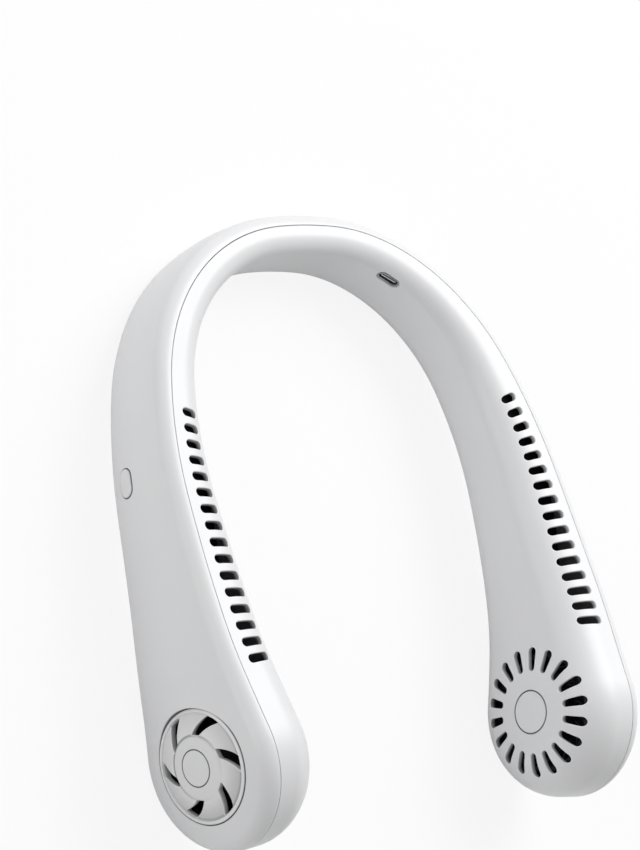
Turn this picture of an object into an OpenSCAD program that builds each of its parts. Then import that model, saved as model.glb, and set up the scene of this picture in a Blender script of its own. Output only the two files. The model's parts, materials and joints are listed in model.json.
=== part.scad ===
// Electric neck fan: a rigid band worn round the neck, with a centrifugal fan in each end.
// Lengths are in millimetres. The part stands on a table, on the neck and on both pods, with
// its arms toward -Y. Right and left are the wearer's: the right arm is at -X.

/* [Band plan] */
// Half length of the flat curve at the back of the neck
back_len = 13.2; // [8:0.1:20]
// Bend radius of that curve
back_r = 177; // [120:1:300]
// Length of the tight curve round the side of the neck
nape_len = 92.5; // [80:0.5:105]
// Bend radius of that curve
nape_r = 78.4; // [70:0.2:90]
// Length of the opening curve over the shoulder
shoulder_len = 43.7; // [35:0.5:55]
// Bend radius of that curve
shoulder_r = 166.7; // [130:1:220]
// Length of the nearly straight arm
arm_len = 41; // [30:0.5:50]
// Bend radius of the arm
arm_r = 778; // [500:1:1200]
// Length of the last bend that turns the pod inwards
toe_len = 22; // [15:0.5:30]
// Radius of the last bend
toe_r = 210; // [150:1:400]

/* [Side profile] */
// Height of the band at the back of the neck
neck_h = 28; // [24:0.2:32]
// Height of the neck's lower edge over the lowest point of the pods, as worn
neck_lift = 19.4; // [14:0.1:24]
// Distance along the band from the back of the neck to the middle of a pod
pod_s = 235.7; // [228:0.1:250]
// Radius of the round pod outline
pod_r = 30; // [28.5:0.1:33]
// Angle at which the upper edge runs into the pod outline
top_join = 8.5; // [6:0.1:12]
// Angle at which the lower edge runs into the pod outline
bottom_join = 19; // [15:0.1:24]

/* [Shells] */
// Wall thickness of both shells
wall = 1.8; // [1.4:0.05:2.2]
// Edge radius of the outer shell, which is also its depth at the seam
outer_edge_r = 4.2; // [3.6:0.1:5.5]
// Crown radius of the outer face
outer_crown_r = 62; // [55:1:90]
// Depth of the inner shell at the back of the neck
neck_depth = 8.4; // [7.6:0.1:10]
// Depth of the inner shell at the pods
pod_depth = 19.2; // [18:0.1:22]
// Crown radius of the inner face
inner_crown_r = 94; // [80:1:140]
// Gap of the seam between the two shells
seam_gap = 0.25; // [0.15:0.05:0.4]
// Thickness of the locating lip inside the seam
lip_t = 0.8; // [0.6:0.1:1]
// Height of the locating lip past the seam
lip_h = 1; // [0.8:0.1:1.2]
// Clearance between the lip and the outer shell
lip_gap = 0.45; // [0.35:0.05:0.6]

/* [Air outlets] */
// Number of outlets along each arm
outlet_count = 16; // [12:1:18]
// Distance along the band to the first outlet
outlet_s = 118; // [112:0.5:124]
// Pitch of the outlets
outlet_pitch = 5.98; // [5.5:0.01:6.2]
// Width of an outlet
outlet_w = 3.1; // [2.4:0.1:3.6]
// Distance from the seam to the near end of every outlet
outlet_inset = 4.1; // [3.6:0.1:5]
// Length of the first outlet
outlet_first_len = 6.5; // [5.5:0.1:7.5]
// Length of the longest outlets
outlet_last_len = 10.4; // [9:0.1:11]

/* [Fan place and inlets] */
// Height of the fan axis over the middle of the pod outline
fan_rise = 1.9; // [1:0.1:2.5]
// Number of radial inlet slots in the inner face
inlet_count = 18; // [14:1:20]
// Turn of the first inlet slot from straight up towards the tip
inlet_turn = 4; // [0:1:18]
// Radius of the inner ends of the inlet slots
inlet_r1 = 14.8; // [14:0.1:16]
// Distance from the pod outline in to the outer ends of the inlet slots
inlet_inset = 6.7; // [6:0.1:8]
// Width of an inlet slot near its inner end
inlet_w1 = 2.5; // [1.7:0.1:2.9]
// Width of an inlet slot near its outer end
inlet_w2 = 3.4; // [2.6:0.1:3.8]
// Radius of the plain disc in the middle of the inner face
disc_r = 7.6; // [6.5:0.1:8.5]
// Thickness of that disc
disc_t = 1; // [0.8:0.1:1.2]
// Clearance round flush pieces let into the shells
flush_gap = 0.25; // [0.15:0.05:0.35]

/* [Intake grille] */
// Distance from the pod outline in to the round grille in the outer face
grille_inset = 10.6; // [9.5:0.1:11.5]
// Width of the grille's rim
grille_rim = 1.3; // [1:0.1:1.8]
// Thickness of the grille's vanes
grille_t = 2.6; // [2:0.1:3]
// Radius of the grille's raised hub
grille_hub_r = 10.4; // [9.6:0.1:11.4]
// Height of the raised hub over the vanes
grille_hub_rise = 0.4; // [0.2:0.05:0.6]
// Depth of the vanes below the rim
vane_dish = 0.6; // [0.4:0.05:0.9]
// Radius of the cap in the hub
cap_r = 6.1; // [5.2:0.1:7]
// Number of vanes and of swirl slots
vane_count = 6; // [5:1:8]
// Angle of the first swirl slot at the hub, from the top towards the tip, in degrees
vane_start = 47; // [30:1:60]
// Turn of a swirl slot from the hub to the rim, in degrees
vane_sweep = 26; // [15:1:45]
// Width of a swirl slot at the hub
vane_gap1 = 3.3; // [2.6:0.1:3.8]
// Width of a swirl slot at the rim
vane_gap2 = 5.4; // [4:0.1:6]
// Width of the hidden flange that holds the grille behind the shell
grille_flange_w = 1.6; // [1.2:0.1:2]
// Thickness of that flange
grille_flange_t = 1; // [0.8:0.1:1.2]

/* [Fan] */
// Distance from the pod outline in to the impeller
impeller_inset = 8.5; // [8:0.1:9.5]
// Height of the impeller
impeller_h = 18.4; // [16:0.2:18.6]
// Distance from the seam plane down to the impeller's lower rim
impeller_low = 16.4; // [16:0.1:17]
// Number of impeller blades
blade_count = 26; // [18:1:32]
// Radial length of a blade
blade_len = 6; // [5:0.1:7]
// Thickness of a blade
blade_t = 0.7; // [0.6:0.05:0.9]
// Thickness of the impeller's web and hub walls
web_t = 1; // [0.8:0.1:1.2]
// Radial gap between the impeller and the volute wall
volute_gap = 1.5; // [1.2:0.1:1.8]
// Wall thickness of the air guide
guide_t = 1; // [0.8:0.1:1.2]

/* [Motor] */
// Outer radius of the rotor can
can_r = 9.6; // [9:0.1:10.2]
// Height of the rotor can
can_h = 7.6; // [7:0.1:8.4]
// Wall thickness of the rotor can
can_t = 0.7; // [0.5:0.05:0.8]
// Thickness of the magnet ring
magnet_t = 1; // [0.8:0.05:1.2]
// Radial air gap between magnets and stator
air_gap = 0.3; // [0.2:0.05:0.4]
// Number of stator teeth
tooth_count = 9; // [6:3:12]
// Height of the stator stack
stator_h = 3.6; // [3:0.1:4]
// Radius of the motor shaft
shaft_r = 0.75; // [0.7:0.01:0.8]
// Radial running clearance of the shaft in its bearing
bearing_fit = 0.03; // [0.02:0.01:0.06]
// Outer radius of the sleeve bearing
bearing_r = 2; // [1.8:0.05:2.2]
// Outer radius of the tube that holds the bearing
tube_r = 2.9; // [2.7:0.05:3.1]
// Radius of the motor's base flange
base_r = 10.6; // [10.2:0.1:11.4]
// Thickness of the motor's base flange
base_t = 1.2; // [1:0.1:1.4]
// Radius on which the motor screws sit
motor_screw_pcr = 8.6; // [8.2:0.1:8.8]

/* [Power button] */
// Distance along the band to the button
button_s = 138.2; // [132:0.2:144]
// Distance of the button below the middle of the band's side
button_drop = 5.7; // [4:0.1:6.5]
// Length of the button along the band
button_len = 10.2; // [9:0.1:11.5]
// Width of the button
button_w = 6.4; // [5.5:0.1:7]
// Height of the button over the shell
button_rise = 0.3; // [0.1:0.05:0.6]
// Travel of the button
button_travel = 0.5; // [0.3:0.05:0.7]

/* [Electronics] */
// Thickness of the circuit boards
board_t = 1; // [0.8:0.1:1.2]
// Length of the control board
control_len = 27; // [22:0.5:30]
// Height of the control board
control_h = 13; // [11:0.5:13.5]
// Side of the push switch on the control board
switch_w = 6; // [5:0.1:6.5]
// Height of the push switch body
switch_h = 1.6; // [1.2:0.1:1.8]
// Distance along the band to the charging port
port_s = 46.5; // [43:0.5:52]
// Distance of the port's middle below the upper edge
port_drop = 6.2; // [5.5:0.1:7.5]
// Width of the charging socket
port_w = 8.94; // [8.94:0.01:9.1]
// Height of the charging socket
port_h = 3.26; // [3.2:0.01:3.4]
// Depth of the charging socket
port_depth = 7.3; // [6.8:0.1:7.6]
// Length of the charge board along the band
charge_len = 16; // [13:0.5:18]
// Length of a battery cell
cell_len = 50; // [44:1:51]
// Height of a battery cell
cell_h = 13; // [11:0.5:13.5]
// Thickness of a battery cell
cell_t = 8.6; // [7:0.1:9]
// Thickness of the foam tape that seats a battery cell
pad_t = 0.8; // [0.5:0.1:1]
// Radius of the motor leads
lead_r = 0.6; // [0.5:0.05:0.7]

/* [Hidden] */
$fn = 64;
deg = 180 / PI;

// What is let into the pods keeps its distance from their outline
inlet_r2 = pod_r - inlet_inset;
grille_r = pod_r - grille_inset;
impeller_r = pod_r - impeller_inset;

// Plan curve of the seam, made of arcs that meet in line and a straight end
arc_lens = [back_len, nape_len, shoulder_len, arm_len, toe_len];
arc_rs = [back_r, nape_r, shoulder_r, arm_r, toe_r];
arc_total = back_len + nape_len + shoulder_len + arm_len + toe_len;
arc_starts = [0, back_len, back_len + nape_len, back_len + nape_len + shoulder_len,
    back_len + nape_len + shoulder_len + arm_len];
arc_turns = [for (i = [0:4]) arc_lens[i] / arc_rs[i] * deg];
arc_heads = [0, arc_turns[0], arc_turns[0] + arc_turns[1], arc_turns[0] + arc_turns[1] + arc_turns[2],
    arc_turns[0] + arc_turns[1] + arc_turns[2] + arc_turns[3]];
pod_heading = arc_heads[4] + arc_turns[4];
function turned(s, i) = max(0, min(s - arc_starts[i], arc_lens[i])) / arc_rs[i] * deg;
function total(list, i = 0) = i >= len(list) ? 0 : list[i] + total(list, i + 1);
function heading(s) = total([for (i = [0:4]) turned(s, i)]);
function plan_x(s) = max(0, s - arc_total) * cos(pod_heading)
    + total([for (i = [0:4]) arc_rs[i] * (sin(arc_heads[i] + turned(s, i)) - sin(arc_heads[i]))]);
function plan_y(s) = -max(0, s - arc_total) * sin(pod_heading)
    + total([for (i = [0:4]) arc_rs[i] * (cos(arc_heads[i] + turned(s, i)) - cos(arc_heads[i]))]);

// Point at s along the band, n outwards from the seam and z up; a negative s is on the right arm
function place(s, n, z) = let(a = abs(s), h = heading(a))
    [(s < 0 ? -1 : 1) * (plan_x(a) + n * sin(h)), plan_y(a) + n * cos(h), z];

// Upper and lower edge of the seam, each running into the round pod outline in line with it
top_join_s = pod_s - pod_r * sin(top_join);
top_rise = pod_r + pod_r * cos(top_join) - neck_lift - neck_h;
top_power = tan(top_join) * top_join_s / top_rise;
bottom_join_s = pod_s - pod_r * sin(bottom_join);
bottom_fall = neck_lift - pod_r + pod_r * cos(bottom_join);
bottom_power = tan(bottom_join) * bottom_join_s / bottom_fall;
function top_z(s) = neck_lift + neck_h + top_rise * pow(min(s / top_join_s, 1), top_power);
function low_z(s) = neck_lift - bottom_fall * pow(min(s / bottom_join_s, 1), bottom_power);
function mid_z(s) = (top_z(s) + low_z(s)) / 2;
function half_h(s) = (top_z(s) - low_z(s)) / 2;

// Depth of the inner shell and radius of its rounded edge
depth_start_share = 0.04;
depth_end_share = 0.83;
edge_share = 0.62;
function ease(t) = let(u = max(0, min(1, t))) u * u * (3 - 2 * u);
function depth(s) = neck_depth + (pod_depth - neck_depth)
    * ease((s / pod_s - depth_start_share) / (depth_end_share - depth_start_share));
function edge_r(s) = edge_share * depth(s);

// Offset of a crowned face with a rounded edge: d is the way in from the outline, dm the longest
function edge_drop(d, r) = d >= r ? 0 : r - sqrt(max(0, r * r - (r - d) * (r - d)));
function crown(d, dm, r) = (dm * dm - (dm - d) * (dm - d)) / (2 * r);
function outer_n(d, dm, t) = outer_edge_r - t - edge_drop(d - t, outer_edge_r - t)
    + crown(d - t, dm - t, outer_crown_r);
function inner_n(s, d, dm, t) = -(depth(s) - t - edge_drop(d - t, edge_r(s) - t)
    + crown(d - t, dm - t, inner_crown_r));

// Columns round the outline: [s, z, s of its spine point, z of its spine point, spine number]
band_steps = 27;
arc_steps = 26;
last_s = bottom_join_s;
function band_s(k) = last_s * k / band_steps;
function sgn(k) = k < 0 ? -1 : 1;
arc_span = 180 + bottom_join + top_join;
band_top = [for (k = [-band_steps:band_steps]) let(a = band_s(abs(k)))
    [sgn(k) * a, top_z(a), sgn(k) * a, mid_z(a), k + band_steps]];
band_low = [for (k = [band_steps:-1:-band_steps]) let(a = band_s(abs(k)))
    [sgn(k) * a, low_z(a), sgn(k) * a, mid_z(a), k + band_steps]];
left_spine = 2 * band_steps + 1;
right_spine = left_spine + 1;
left_round = [for (j = [0:arc_steps - 1]) let(a = j * arc_span / arc_steps - top_join)
    [pod_s + pod_r * sin(a), pod_r + pod_r * cos(a), pod_s, pod_r, left_spine]];
right_round = [for (j = [arc_steps - 1:-1:0]) let(a = j * arc_span / arc_steps - top_join)
    [-pod_s - pod_r * sin(a), pod_r + pod_r * cos(a), -pod_s, pod_r, right_spine]];
columns = concat(band_top, left_round, band_low, right_round);
spines = concat([for (c = band_top) c], [left_round[0]], [right_round[0]]);
column_count = len(columns);
function column_dm(c) = norm([c[0] - c[2], c[1] - c[3]]);
// Point d in from the outline along column c, at offset n
function column_point(c, d, n) = let(f = d / column_dm(c))
    place(c[0] + (c[2] - c[0]) * f, n, c[1] + (c[3] - c[1]) * f);

// A closed skin from one profile per column: the first and last profile points meet at the spine
module skin(profiles, spine_a, spine_b) {
    k = len(profiles[0]);
    pa = column_count * k;
    pb = pa + len(spine_a);
    points = concat([for (p = profiles) for (q = p) q], spine_a, spine_b);
    ends = [for (c = [0:column_count - 1]) [c, (c + 1) % column_count]];
    faces = concat(
        [for (e = ends) for (r = [0:k - 2]) [e[0] * k + r, e[1] * k + r, e[0] * k + r + 1]],
        [for (e = ends) for (r = [0:k - 2]) [e[0] * k + r + 1, e[1] * k + r, e[1] * k + r + 1]],
        [for (e = ends) [pa + columns[e[0]][4], e[1] * k, e[0] * k]],
        [for (e = ends) if (columns[e[0]][4] != columns[e[1]][4])
            [pa + columns[e[0]][4], pa + columns[e[1]][4], e[1] * k]],
        [for (e = ends) [pb + columns[e[0]][4], e[0] * k + k - 1, e[1] * k + k - 1]],
        [for (e = ends) if (columns[e[0]][4] != columns[e[1]][4])
            [pb + columns[e[0]][4], e[1] * k + k - 1, pb + columns[e[1]][4]]]);
    polyhedron(points, faces, convexity = 12);
}

// Steps of the rounded edge, in degrees, and of the face inside it, as shares of what is left
edge_steps = [0, 22, 44, 66, 90];
face_shares = [0.3, 0.65];
function edge_ds(r, t) = [for (a = edge_steps) t + (r - t) * (1 - cos(a))];
function face_ds(r, dm) = [for (f = face_shares) r + (dm - r) * f];
function reversed(list) = [for (i = [len(list) - 1:-1:0]) list[i]];
function rest(list) = [for (i = [1:len(list) - 1]) list[i]];
lip_d = wall + lip_gap;
lip_end = lip_d + lip_t;

function outer_profile(c) = let(dm = column_dm(c), r = outer_edge_r,
        over = concat(reversed(face_ds(r, dm)), reversed(rest(edge_ds(r, 0)))),
        under = concat(rest(edge_ds(r, wall)), face_ds(r, dm)))
    concat([for (d = over) column_point(c, d, outer_n(d, dm, 0))],
        [column_point(c, 0, seam_gap / 2), column_point(c, wall, seam_gap / 2)],
        [for (d = under) column_point(c, d, outer_n(d, dm, wall))]);

function inner_profile(c) = let(dm = column_dm(c), a = abs(c[0]), r = edge_r(a), g = seam_gap / 2,
        over = concat(reversed(face_ds(r, dm)), reversed(edge_ds(r, 0))),
        under = concat(edge_ds(r, wall), face_ds(r, dm)))
    concat([for (d = over) column_point(c, d, inner_n(a, d, dm, 0))],
        [column_point(c, 0, -g), column_point(c, lip_d, -g), column_point(c, lip_d, lip_h),
            column_point(c, lip_end, lip_h), column_point(c, lip_end, -lip_t),
            column_point(c, wall, wall - lip_end - lip_t)],
        [for (d = under) column_point(c, d, inner_n(a, d, dm, wall))]);

module outer_blank() {
    skin([for (c = columns) outer_profile(c)],
        [for (c = spines) place(c[2], outer_n(column_dm(c), column_dm(c), 0), c[3])],
        [for (c = spines) place(c[2], outer_n(column_dm(c), column_dm(c), wall), c[3])]);
}

module inner_blank() {
    skin([for (c = columns) reversed(inner_profile(c))],
        [for (c = spines) place(c[2], inner_n(abs(c[2]), column_dm(c), column_dm(c), wall), c[3])],
        [for (c = spines) place(c[2], inner_n(abs(c[2]), column_dm(c), column_dm(c), 0), c[3])]);
}

// The worn band is leant back until the neck and both pods touch the table
neck_over = pod_r - neck_lift;
pod_back = -plan_y(pod_s);
lean = atan2(pod_back, neck_over) - acos(pod_r / norm([pod_back, neck_over]));
function leant(p) = [p[0], p[1] * cos(lean) + p[2] * sin(lean), p[2] * cos(lean) - p[1] * sin(lean)];
seam_points = [for (c = columns) leant(place(c[0], 0, c[1]))];
face_points = [for (c = columns) for (d = face_ds(outer_edge_r, column_dm(c)))
    leant(column_point(c, d, outer_n(d, column_dm(c), 0)))];
round_points = [for (c = columns) for (d = rest(edge_ds(edge_r(abs(c[0])), 0)))
    leant(column_point(c, d, inner_n(abs(c[0]), d, column_dm(c), 0)))];
all_points = concat(seam_points, face_points, round_points);
middle_y = (max([for (p = all_points) p[1]]) + min([for (p = all_points) p[1]])) / 2;
floor_z = min([for (p = all_points) p[2]]);
module at_rest() {
    translate([0, -middle_y, -floor_z]) rotate([-lean, 0, 0]) children();
}

// Places on the arms: side is 1 on the left arm and -1 on the right arm
module on_arm(side) {
    if (side < 0) mirror([1, 0, 0]) children();
    else children();
}
// X along the band to the pod, Y outwards, Z up
module at_station(side, s, n, z) {
    on_arm(side) translate(place(s, n, z)) rotate([0, 0, -heading(s)]) children();
}
// X up, Y to the tip, Z outwards, with the origin in the seam plane
module on_pod(side, z) {
    on_arm(side) translate(place(pod_s, 0, z)) rotate([0, 0, 90 - pod_heading]) rotate([0, 90, 0])
        rotate([0, 0, 180]) children();
}
module on_fan(side) {
    on_pod(side, fan_z) children();
}
over = 5;
fan_z = pod_r + fan_rise;
outer_top = outer_n(pod_r, pod_r, 0);
inner_top = -inner_n(pod_s, pod_r, pod_r, 0);

// Outline of a pill of the given length and width, along X
module pill(l, w) {
    square([l - w, w], center = true);
    translate([(l - w) / 2, 0]) circle(w / 2);
    translate([(w - l) / 2, 0]) circle(w / 2);
}
module ring(r1, r2, h) {
    difference() {
        cylinder(r = r2, h = h);
        translate([0, 0, -over]) cylinder(r = r1, h = h + 2 * over);
    }
}
// A crowned slab of thickness t whose top is the crown of radius rc
dome_steps = 10;
module dome(rc, top, t, r) {
    rim = [for (i = [0:dome_steps]) r * i / dome_steps];
    rotate_extrude() polygon(concat([for (x = rim) [x, top - x * x / (2 * rc)]],
        [for (x = reversed(rim)) [x, top - t - x * x / (2 * rc)]]));
}

// Cuts in the shells
function outlet_len(i) = outlet_first_len + (outlet_last_len - outlet_first_len)
    * min(1, i / (outlet_count - 1) / outlet_grow_share);
outlet_grow_share = 0.75;
outlet_depth = wall + over;
module outlet_cut(side, i) {
    s = outlet_s + i * outlet_pitch;
    l = outlet_len(i);
    at_station(side, s, -outlet_inset - l / 2, top_z(s) - outlet_depth) rotate([0, 0, 90])
        linear_extrude(outlet_depth + over) pill(l, outlet_w);
}
module inlet_outline() {
    r1 = inlet_w1 / 2;
    r2 = inlet_w2 / 2;
    translate([inlet_r1 + r1, 0]) circle(r1);
    translate([inlet_r2 - r2, 0]) circle(r2);
    polygon([[inlet_r1 + r1, r1], [inlet_r1 + r1, -r1], [inlet_r2 - r2, -r2], [inlet_r2 - r2, r2]]);
}
module inlet_cuts(side) {
    on_fan(side) for (i = [0:inlet_count - 1]) rotate([0, 0, inlet_turn + i * 360 / inlet_count])
        translate([0, 0, -inner_top - over]) linear_extrude(inner_top - impeller_low + over)
            inlet_outline();
}

// Motor and impeller levels, in n from the seam plane
motor_drop = 2.8;
coil_over = 0.8;
board_gap = 0.4;
boss_top = impeller_low + motor_drop;
base_top = -boss_top + base_t;
board_top = base_top + board_t;
stator_low = board_top + coil_over + board_gap;
can_low = stator_low - coil_over / 2;
can_top = can_low + can_h;
magnet_r1 = can_r - can_t - magnet_t;
stator_r = magnet_r1 - air_gap;
tooth_w = stator_r / 6;
tip_t = stator_r / 8;
yoke_r = tube_r + tip_t;
coil_t = tooth_w / 2;
hub_gap = 0.05;
hub_r = can_r + hub_gap + web_t;
screw_r = 0.7;
screw_head_r = 1.3;
screw_head_t = 0.9;
screw_len = 2.6;
motor_screw_count = 3;
boss_r = base_r + lip_t;

// Battery and board levels
cell_share = 0.683;
cell_s = pod_s * cell_share;
cell_drop = 6.6;
cell_gap = 1.35;
cell_lean = 6;
cell_z = mid_z(cell_s) - cell_drop;
rib_t = 1.4;
rib_inset = 10;
rib_at = cell_len / 2 - rib_inset;
fit_gap = 0.1;
post_r = 1.9;
post_inset = 2.5;
post_at = control_len / 2 - post_inset;
stem_rise = 0.4;
stem_r = 1.6;
button_flange = 0.9;
button_flange_t = 0.8;
button_z = mid_z(button_s) - button_drop;
button_face = outer_n(half_h(button_s) - button_drop, half_h(button_s), 0);
button_reach = button_drop + button_w / 2 + button_flange;
button_bend = pow(button_len / 2 + button_flange, 2) / (2 * shoulder_r);
button_low = outer_n(half_h(button_s) - button_reach, half_h(button_s), wall) - button_bend
    - fit_gap - button_flange_t;
board_front = button_low - button_travel - switch_h - stem_rise;
cell_n = board_front - board_t - screw_head_t - cell_gap - cell_t / 2;
pad_n = cell_n - cell_t / 2 - pad_t;
charge_w = 8;
port_z = top_z(port_s) - port_drop;
port_face = inner_n(port_s, port_drop, half_h(port_s), 0);
port_recess = 0.3;
charge_board_top = port_z - port_h / 2;
charge_n = port_face + wall + flush_gap + charge_w / 2;
charge_screw_inset = 2;
charge_screw_at = charge_len / 2 - charge_screw_inset;
shelf_w = 5;
shelf_h = 2.6;

module shell_posts() {
    at_station(-1, button_s, board_front, button_z) for (x = [-post_at, post_at])
        translate([x, 0, 0]) rotate([-90, 0, 0])
            cylinder(r = post_r, h = button_face - wall / 2 - board_front);
}
module post_bores() {
    at_station(-1, button_s, board_front, button_z) for (x = [-post_at, post_at])
        translate([x, -over, 0]) rotate([-90, 0, 0]) cylinder(r = screw_r, h = over + screw_len);
}
module outer_shell() {
    color("whitesmoke") at_rest() difference() {
        union() {
            outer_blank();
            shell_posts();
        }
        for (side = [-1, 1]) on_fan(side) cylinder(r = grille_r + flush_gap, h = outer_top + over);
        post_bores();
        at_station(-1, button_s, 0, button_z) rotate([-90, 0, 0])
            linear_extrude(button_face + over) pill(button_len + 2 * flush_gap, button_w + 2 * flush_gap);
    }
}

module motor_boss(side) {
    on_fan(side) translate([0, 0, -inner_top + wall / 2])
        cylinder(r = boss_r, h = inner_top - wall / 2 - boss_top);
}
module motor_boss_bores(side) {
    on_fan(side) for (i = [0:motor_screw_count - 1]) rotate([0, 0, i * 360 / motor_screw_count])
        translate([motor_screw_pcr, 0, -boss_top - screw_len]) cylinder(r = screw_r, h = screw_len + over);
}
module battery_ribs(side) {
    for (x = [-rib_at, rib_at]) {
        s = cell_s + x;
        w = depth(s) - wall / 2 + pad_n;
        at_station(side, s, pad_n - w / 2, cell_z - x * tan(cell_lean))
            cube([rib_t, w, cell_h - 2 * rib_t], center = true);
    }
}
module charge_shelf() {
    for (x = [-charge_screw_at, charge_screw_at]) at_station(1, port_s, port_face + wall / 2, 0)
        translate([x - shelf_w / 2, 0, charge_board_top - board_t - shelf_h])
            cube([shelf_w, shelf_w, shelf_h]);
}
module inner_shell() {
    color("whitesmoke") at_rest() difference() {
        union() {
            inner_blank();
            motor_boss(1);
            motor_boss(-1);
            battery_ribs(1);
            battery_ribs(-1);
            charge_shelf();
        }
        for (side = [-1, 1]) {
            for (i = [0:outlet_count - 1]) outlet_cut(side, i);
            inlet_cuts(side);
            motor_boss_bores(side);
            on_fan(side) translate([0, 0, -inner_top - over])
                cylinder(r = disc_r + flush_gap, h = over + disc_t);
        }
        at_station(1, port_s, port_face - over, port_z) rotate([-90, 0, 0])
            linear_extrude(over + port_depth) pill(port_w + 2 * fit_gap, port_h + 2 * fit_gap);
        charge_screw_places() translate([0, 0, -screw_len]) cylinder(r = screw_r, h = screw_len + over);
    }
}

// Power button, its stem and the push switch under it
module button_place() {
    at_station(-1, button_s, 0, button_z) rotate([-90, 0, 0]) children();
}
module power_button() {
    color("white") at_rest() button_place() {
        translate([0, 0, button_low]) linear_extrude(button_face + button_rise - button_low)
            pill(button_len, button_w);
        translate([0, 0, button_low]) linear_extrude(button_flange_t)
            pill(button_len + 2 * button_flange, button_w + 2 * button_flange);
    }
}
module switch_stem() {
    color("black") at_rest() button_place() translate([0, 0, board_front + switch_h - button_travel])
        cylinder(r = stem_r, h = button_low - board_front - switch_h + button_travel);
}
module power_switch() {
    color("silver") at_rest() button_place() translate([0, 0, board_front]) difference() {
        translate([-switch_w / 2, -switch_w / 2, 0]) cube([switch_w, switch_w, switch_h]);
        translate([0, 0, switch_h - 2 * button_travel - fit_gap])
            cylinder(r = stem_r + fit_gap, h = over);
    }
}
module control_board() {
    color("darkgreen") at_rest() button_place() difference() {
        translate([-control_len / 2, -control_h / 2, board_front - board_t])
            cube([control_len, control_h, board_t]);
        for (x = [-post_at, post_at]) translate([x, 0, board_front - over])
            cylinder(r = screw_r, h = 2 * over);
    }
}
module screw() {
    translate([0, 0, -screw_len + fit_gap]) cylinder(r = screw_r, h = screw_len - fit_gap);
    cylinder(r = screw_head_r, h = screw_head_t);
}
module control_board_screws() {
    color("silver") at_rest() button_place() for (x = [-post_at, post_at])
        translate([x, 0, board_front - board_t]) rotate([180, 0, 0]) screw();
}

// Charging socket and its board
socket_wall = 0.3;
tongue_w = 6.7;
tongue_t = 0.7;
module usb_c_socket() {
    color("silver") at_rest() at_station(1, port_s, port_face + port_recess, port_z)
        rotate([-90, 0, 0]) difference() {
            linear_extrude(port_depth) pill(port_w, port_h);
            translate([0, 0, -over]) linear_extrude(port_depth - socket_wall + over) difference() {
                pill(port_w - 2 * socket_wall, port_h - 2 * socket_wall);
                square([tongue_w, tongue_t], center = true);
            }
            translate([0, 0, -over]) linear_extrude(over + socket_wall)
                square([tongue_w, tongue_t], center = true);
        }
}
module charge_board() {
    color("darkgreen") at_rest() difference() {
        at_station(1, port_s, charge_n, charge_board_top)
            translate([-charge_len / 2, -charge_w / 2, -board_t]) cube([charge_len, charge_w, board_t]);
        charge_screw_places() translate([0, 0, -over]) cylinder(r = screw_r, h = 2 * over);
    }
}
module charge_screw_places() {
    for (x = [-charge_screw_at, charge_screw_at])
        at_station(1, port_s, charge_n - charge_w / 2 + screw_head_r + flush_gap, charge_board_top)
            translate([x, 0, 0]) children();
}
module charge_board_screws() {
    color("silver") at_rest() charge_screw_places() screw();
}

// Intake grille, flush with the crown of the outer face
module swirl_slot() {
    steps = 7;
    r1 = grille_hub_r + flush_gap;
    r2 = grille_r - grille_rim - flush_gap;
    function at(i, side) = let(f = i / steps, r = r1 + (r2 - r1) * f, a = vane_sweep * f,
            w = vane_gap1 + (vane_gap2 - vane_gap1) * f, b = side * w / 2 / r * deg)
        [r * cos(a + b), r * sin(a + b)];
    polygon(concat([for (i = [0:steps]) at(i, 1)], [for (i = [steps:-1:0]) at(i, -1)]));
}
// The grille's axis stands square on the crowned shell at the fan axis
grille_tilt = asin(fan_rise / outer_crown_r);
grille_top = outer_top - fan_rise * fan_rise / (2 * outer_crown_r);
module on_grille(side) {
    on_fan(side) translate([0, 0, grille_top]) rotate([0, grille_tilt, 0]) children();
}
// Points of the crown from radius a to radius b, sunk from depth da to depth db
crown_steps = 4;
function crown_line(a, b, da, db) = [for (i = [0:crown_steps]) let(f = i / crown_steps,
    r = a + (b - a) * f) [r, -r * r / (2 * outer_crown_r) - da - (db - da) * f]];
module intake_grille(side) {
    flange_drop = outer_top - outer_n(pod_r, pod_r, wall) + flush_gap;
    rim_r = grille_r - grille_rim;
    flange_r = grille_r + grille_flange_w;
    low = flange_drop + grille_flange_t;
    slot_h = grille_t + grille_rim;
    color("gainsboro") at_rest() on_grille(side) difference() {
        rotate([0, 0, vane_start + vane_sweep / 2 - 180 / vane_count])
            rotate_extrude() polygon(concat(crown_line(0, grille_hub_r, 0, 0),
            crown_line(grille_hub_r, rim_r, grille_hub_rise, vane_dish),
            [for (p = [[rim_r, 0], [grille_r, 0], [grille_r, flange_drop], [flange_r, flange_drop],
                [flange_r, low], [rim_r, low]]) [p[0], -p[0] * p[0] / (2 * outer_crown_r) - p[1]]],
            crown_line(rim_r, 0, vane_dish + grille_t, grille_hub_rise + grille_t)));
        for (i = [0:vane_count - 1]) rotate([0, 0, vane_start + i * 360 / vane_count])
            translate([0, 0, -over - slot_h]) linear_extrude(over + slot_h) swirl_slot();
        translate([0, 0, -disc_t]) cylinder(r = cap_r + flush_gap, h = over);
    }
}
module grille_cap(side) {
    color("whitesmoke") at_rest() on_grille(side)
        rotate_extrude() polygon(concat([[0, -disc_t], [cap_r, -disc_t]], crown_line(cap_r, 0, 0, 0)));
}
module inner_disc(side) {
    color("whitesmoke") at_rest() on_fan(side) intersection() {
        translate([-fan_rise, 0, 0]) mirror([0, 0, 1]) dome(inner_crown_r, inner_top, over, pod_r);
        translate([0, 0, -inner_top - over + disc_t]) cylinder(r = disc_r, h = over);
    }
}

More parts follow.
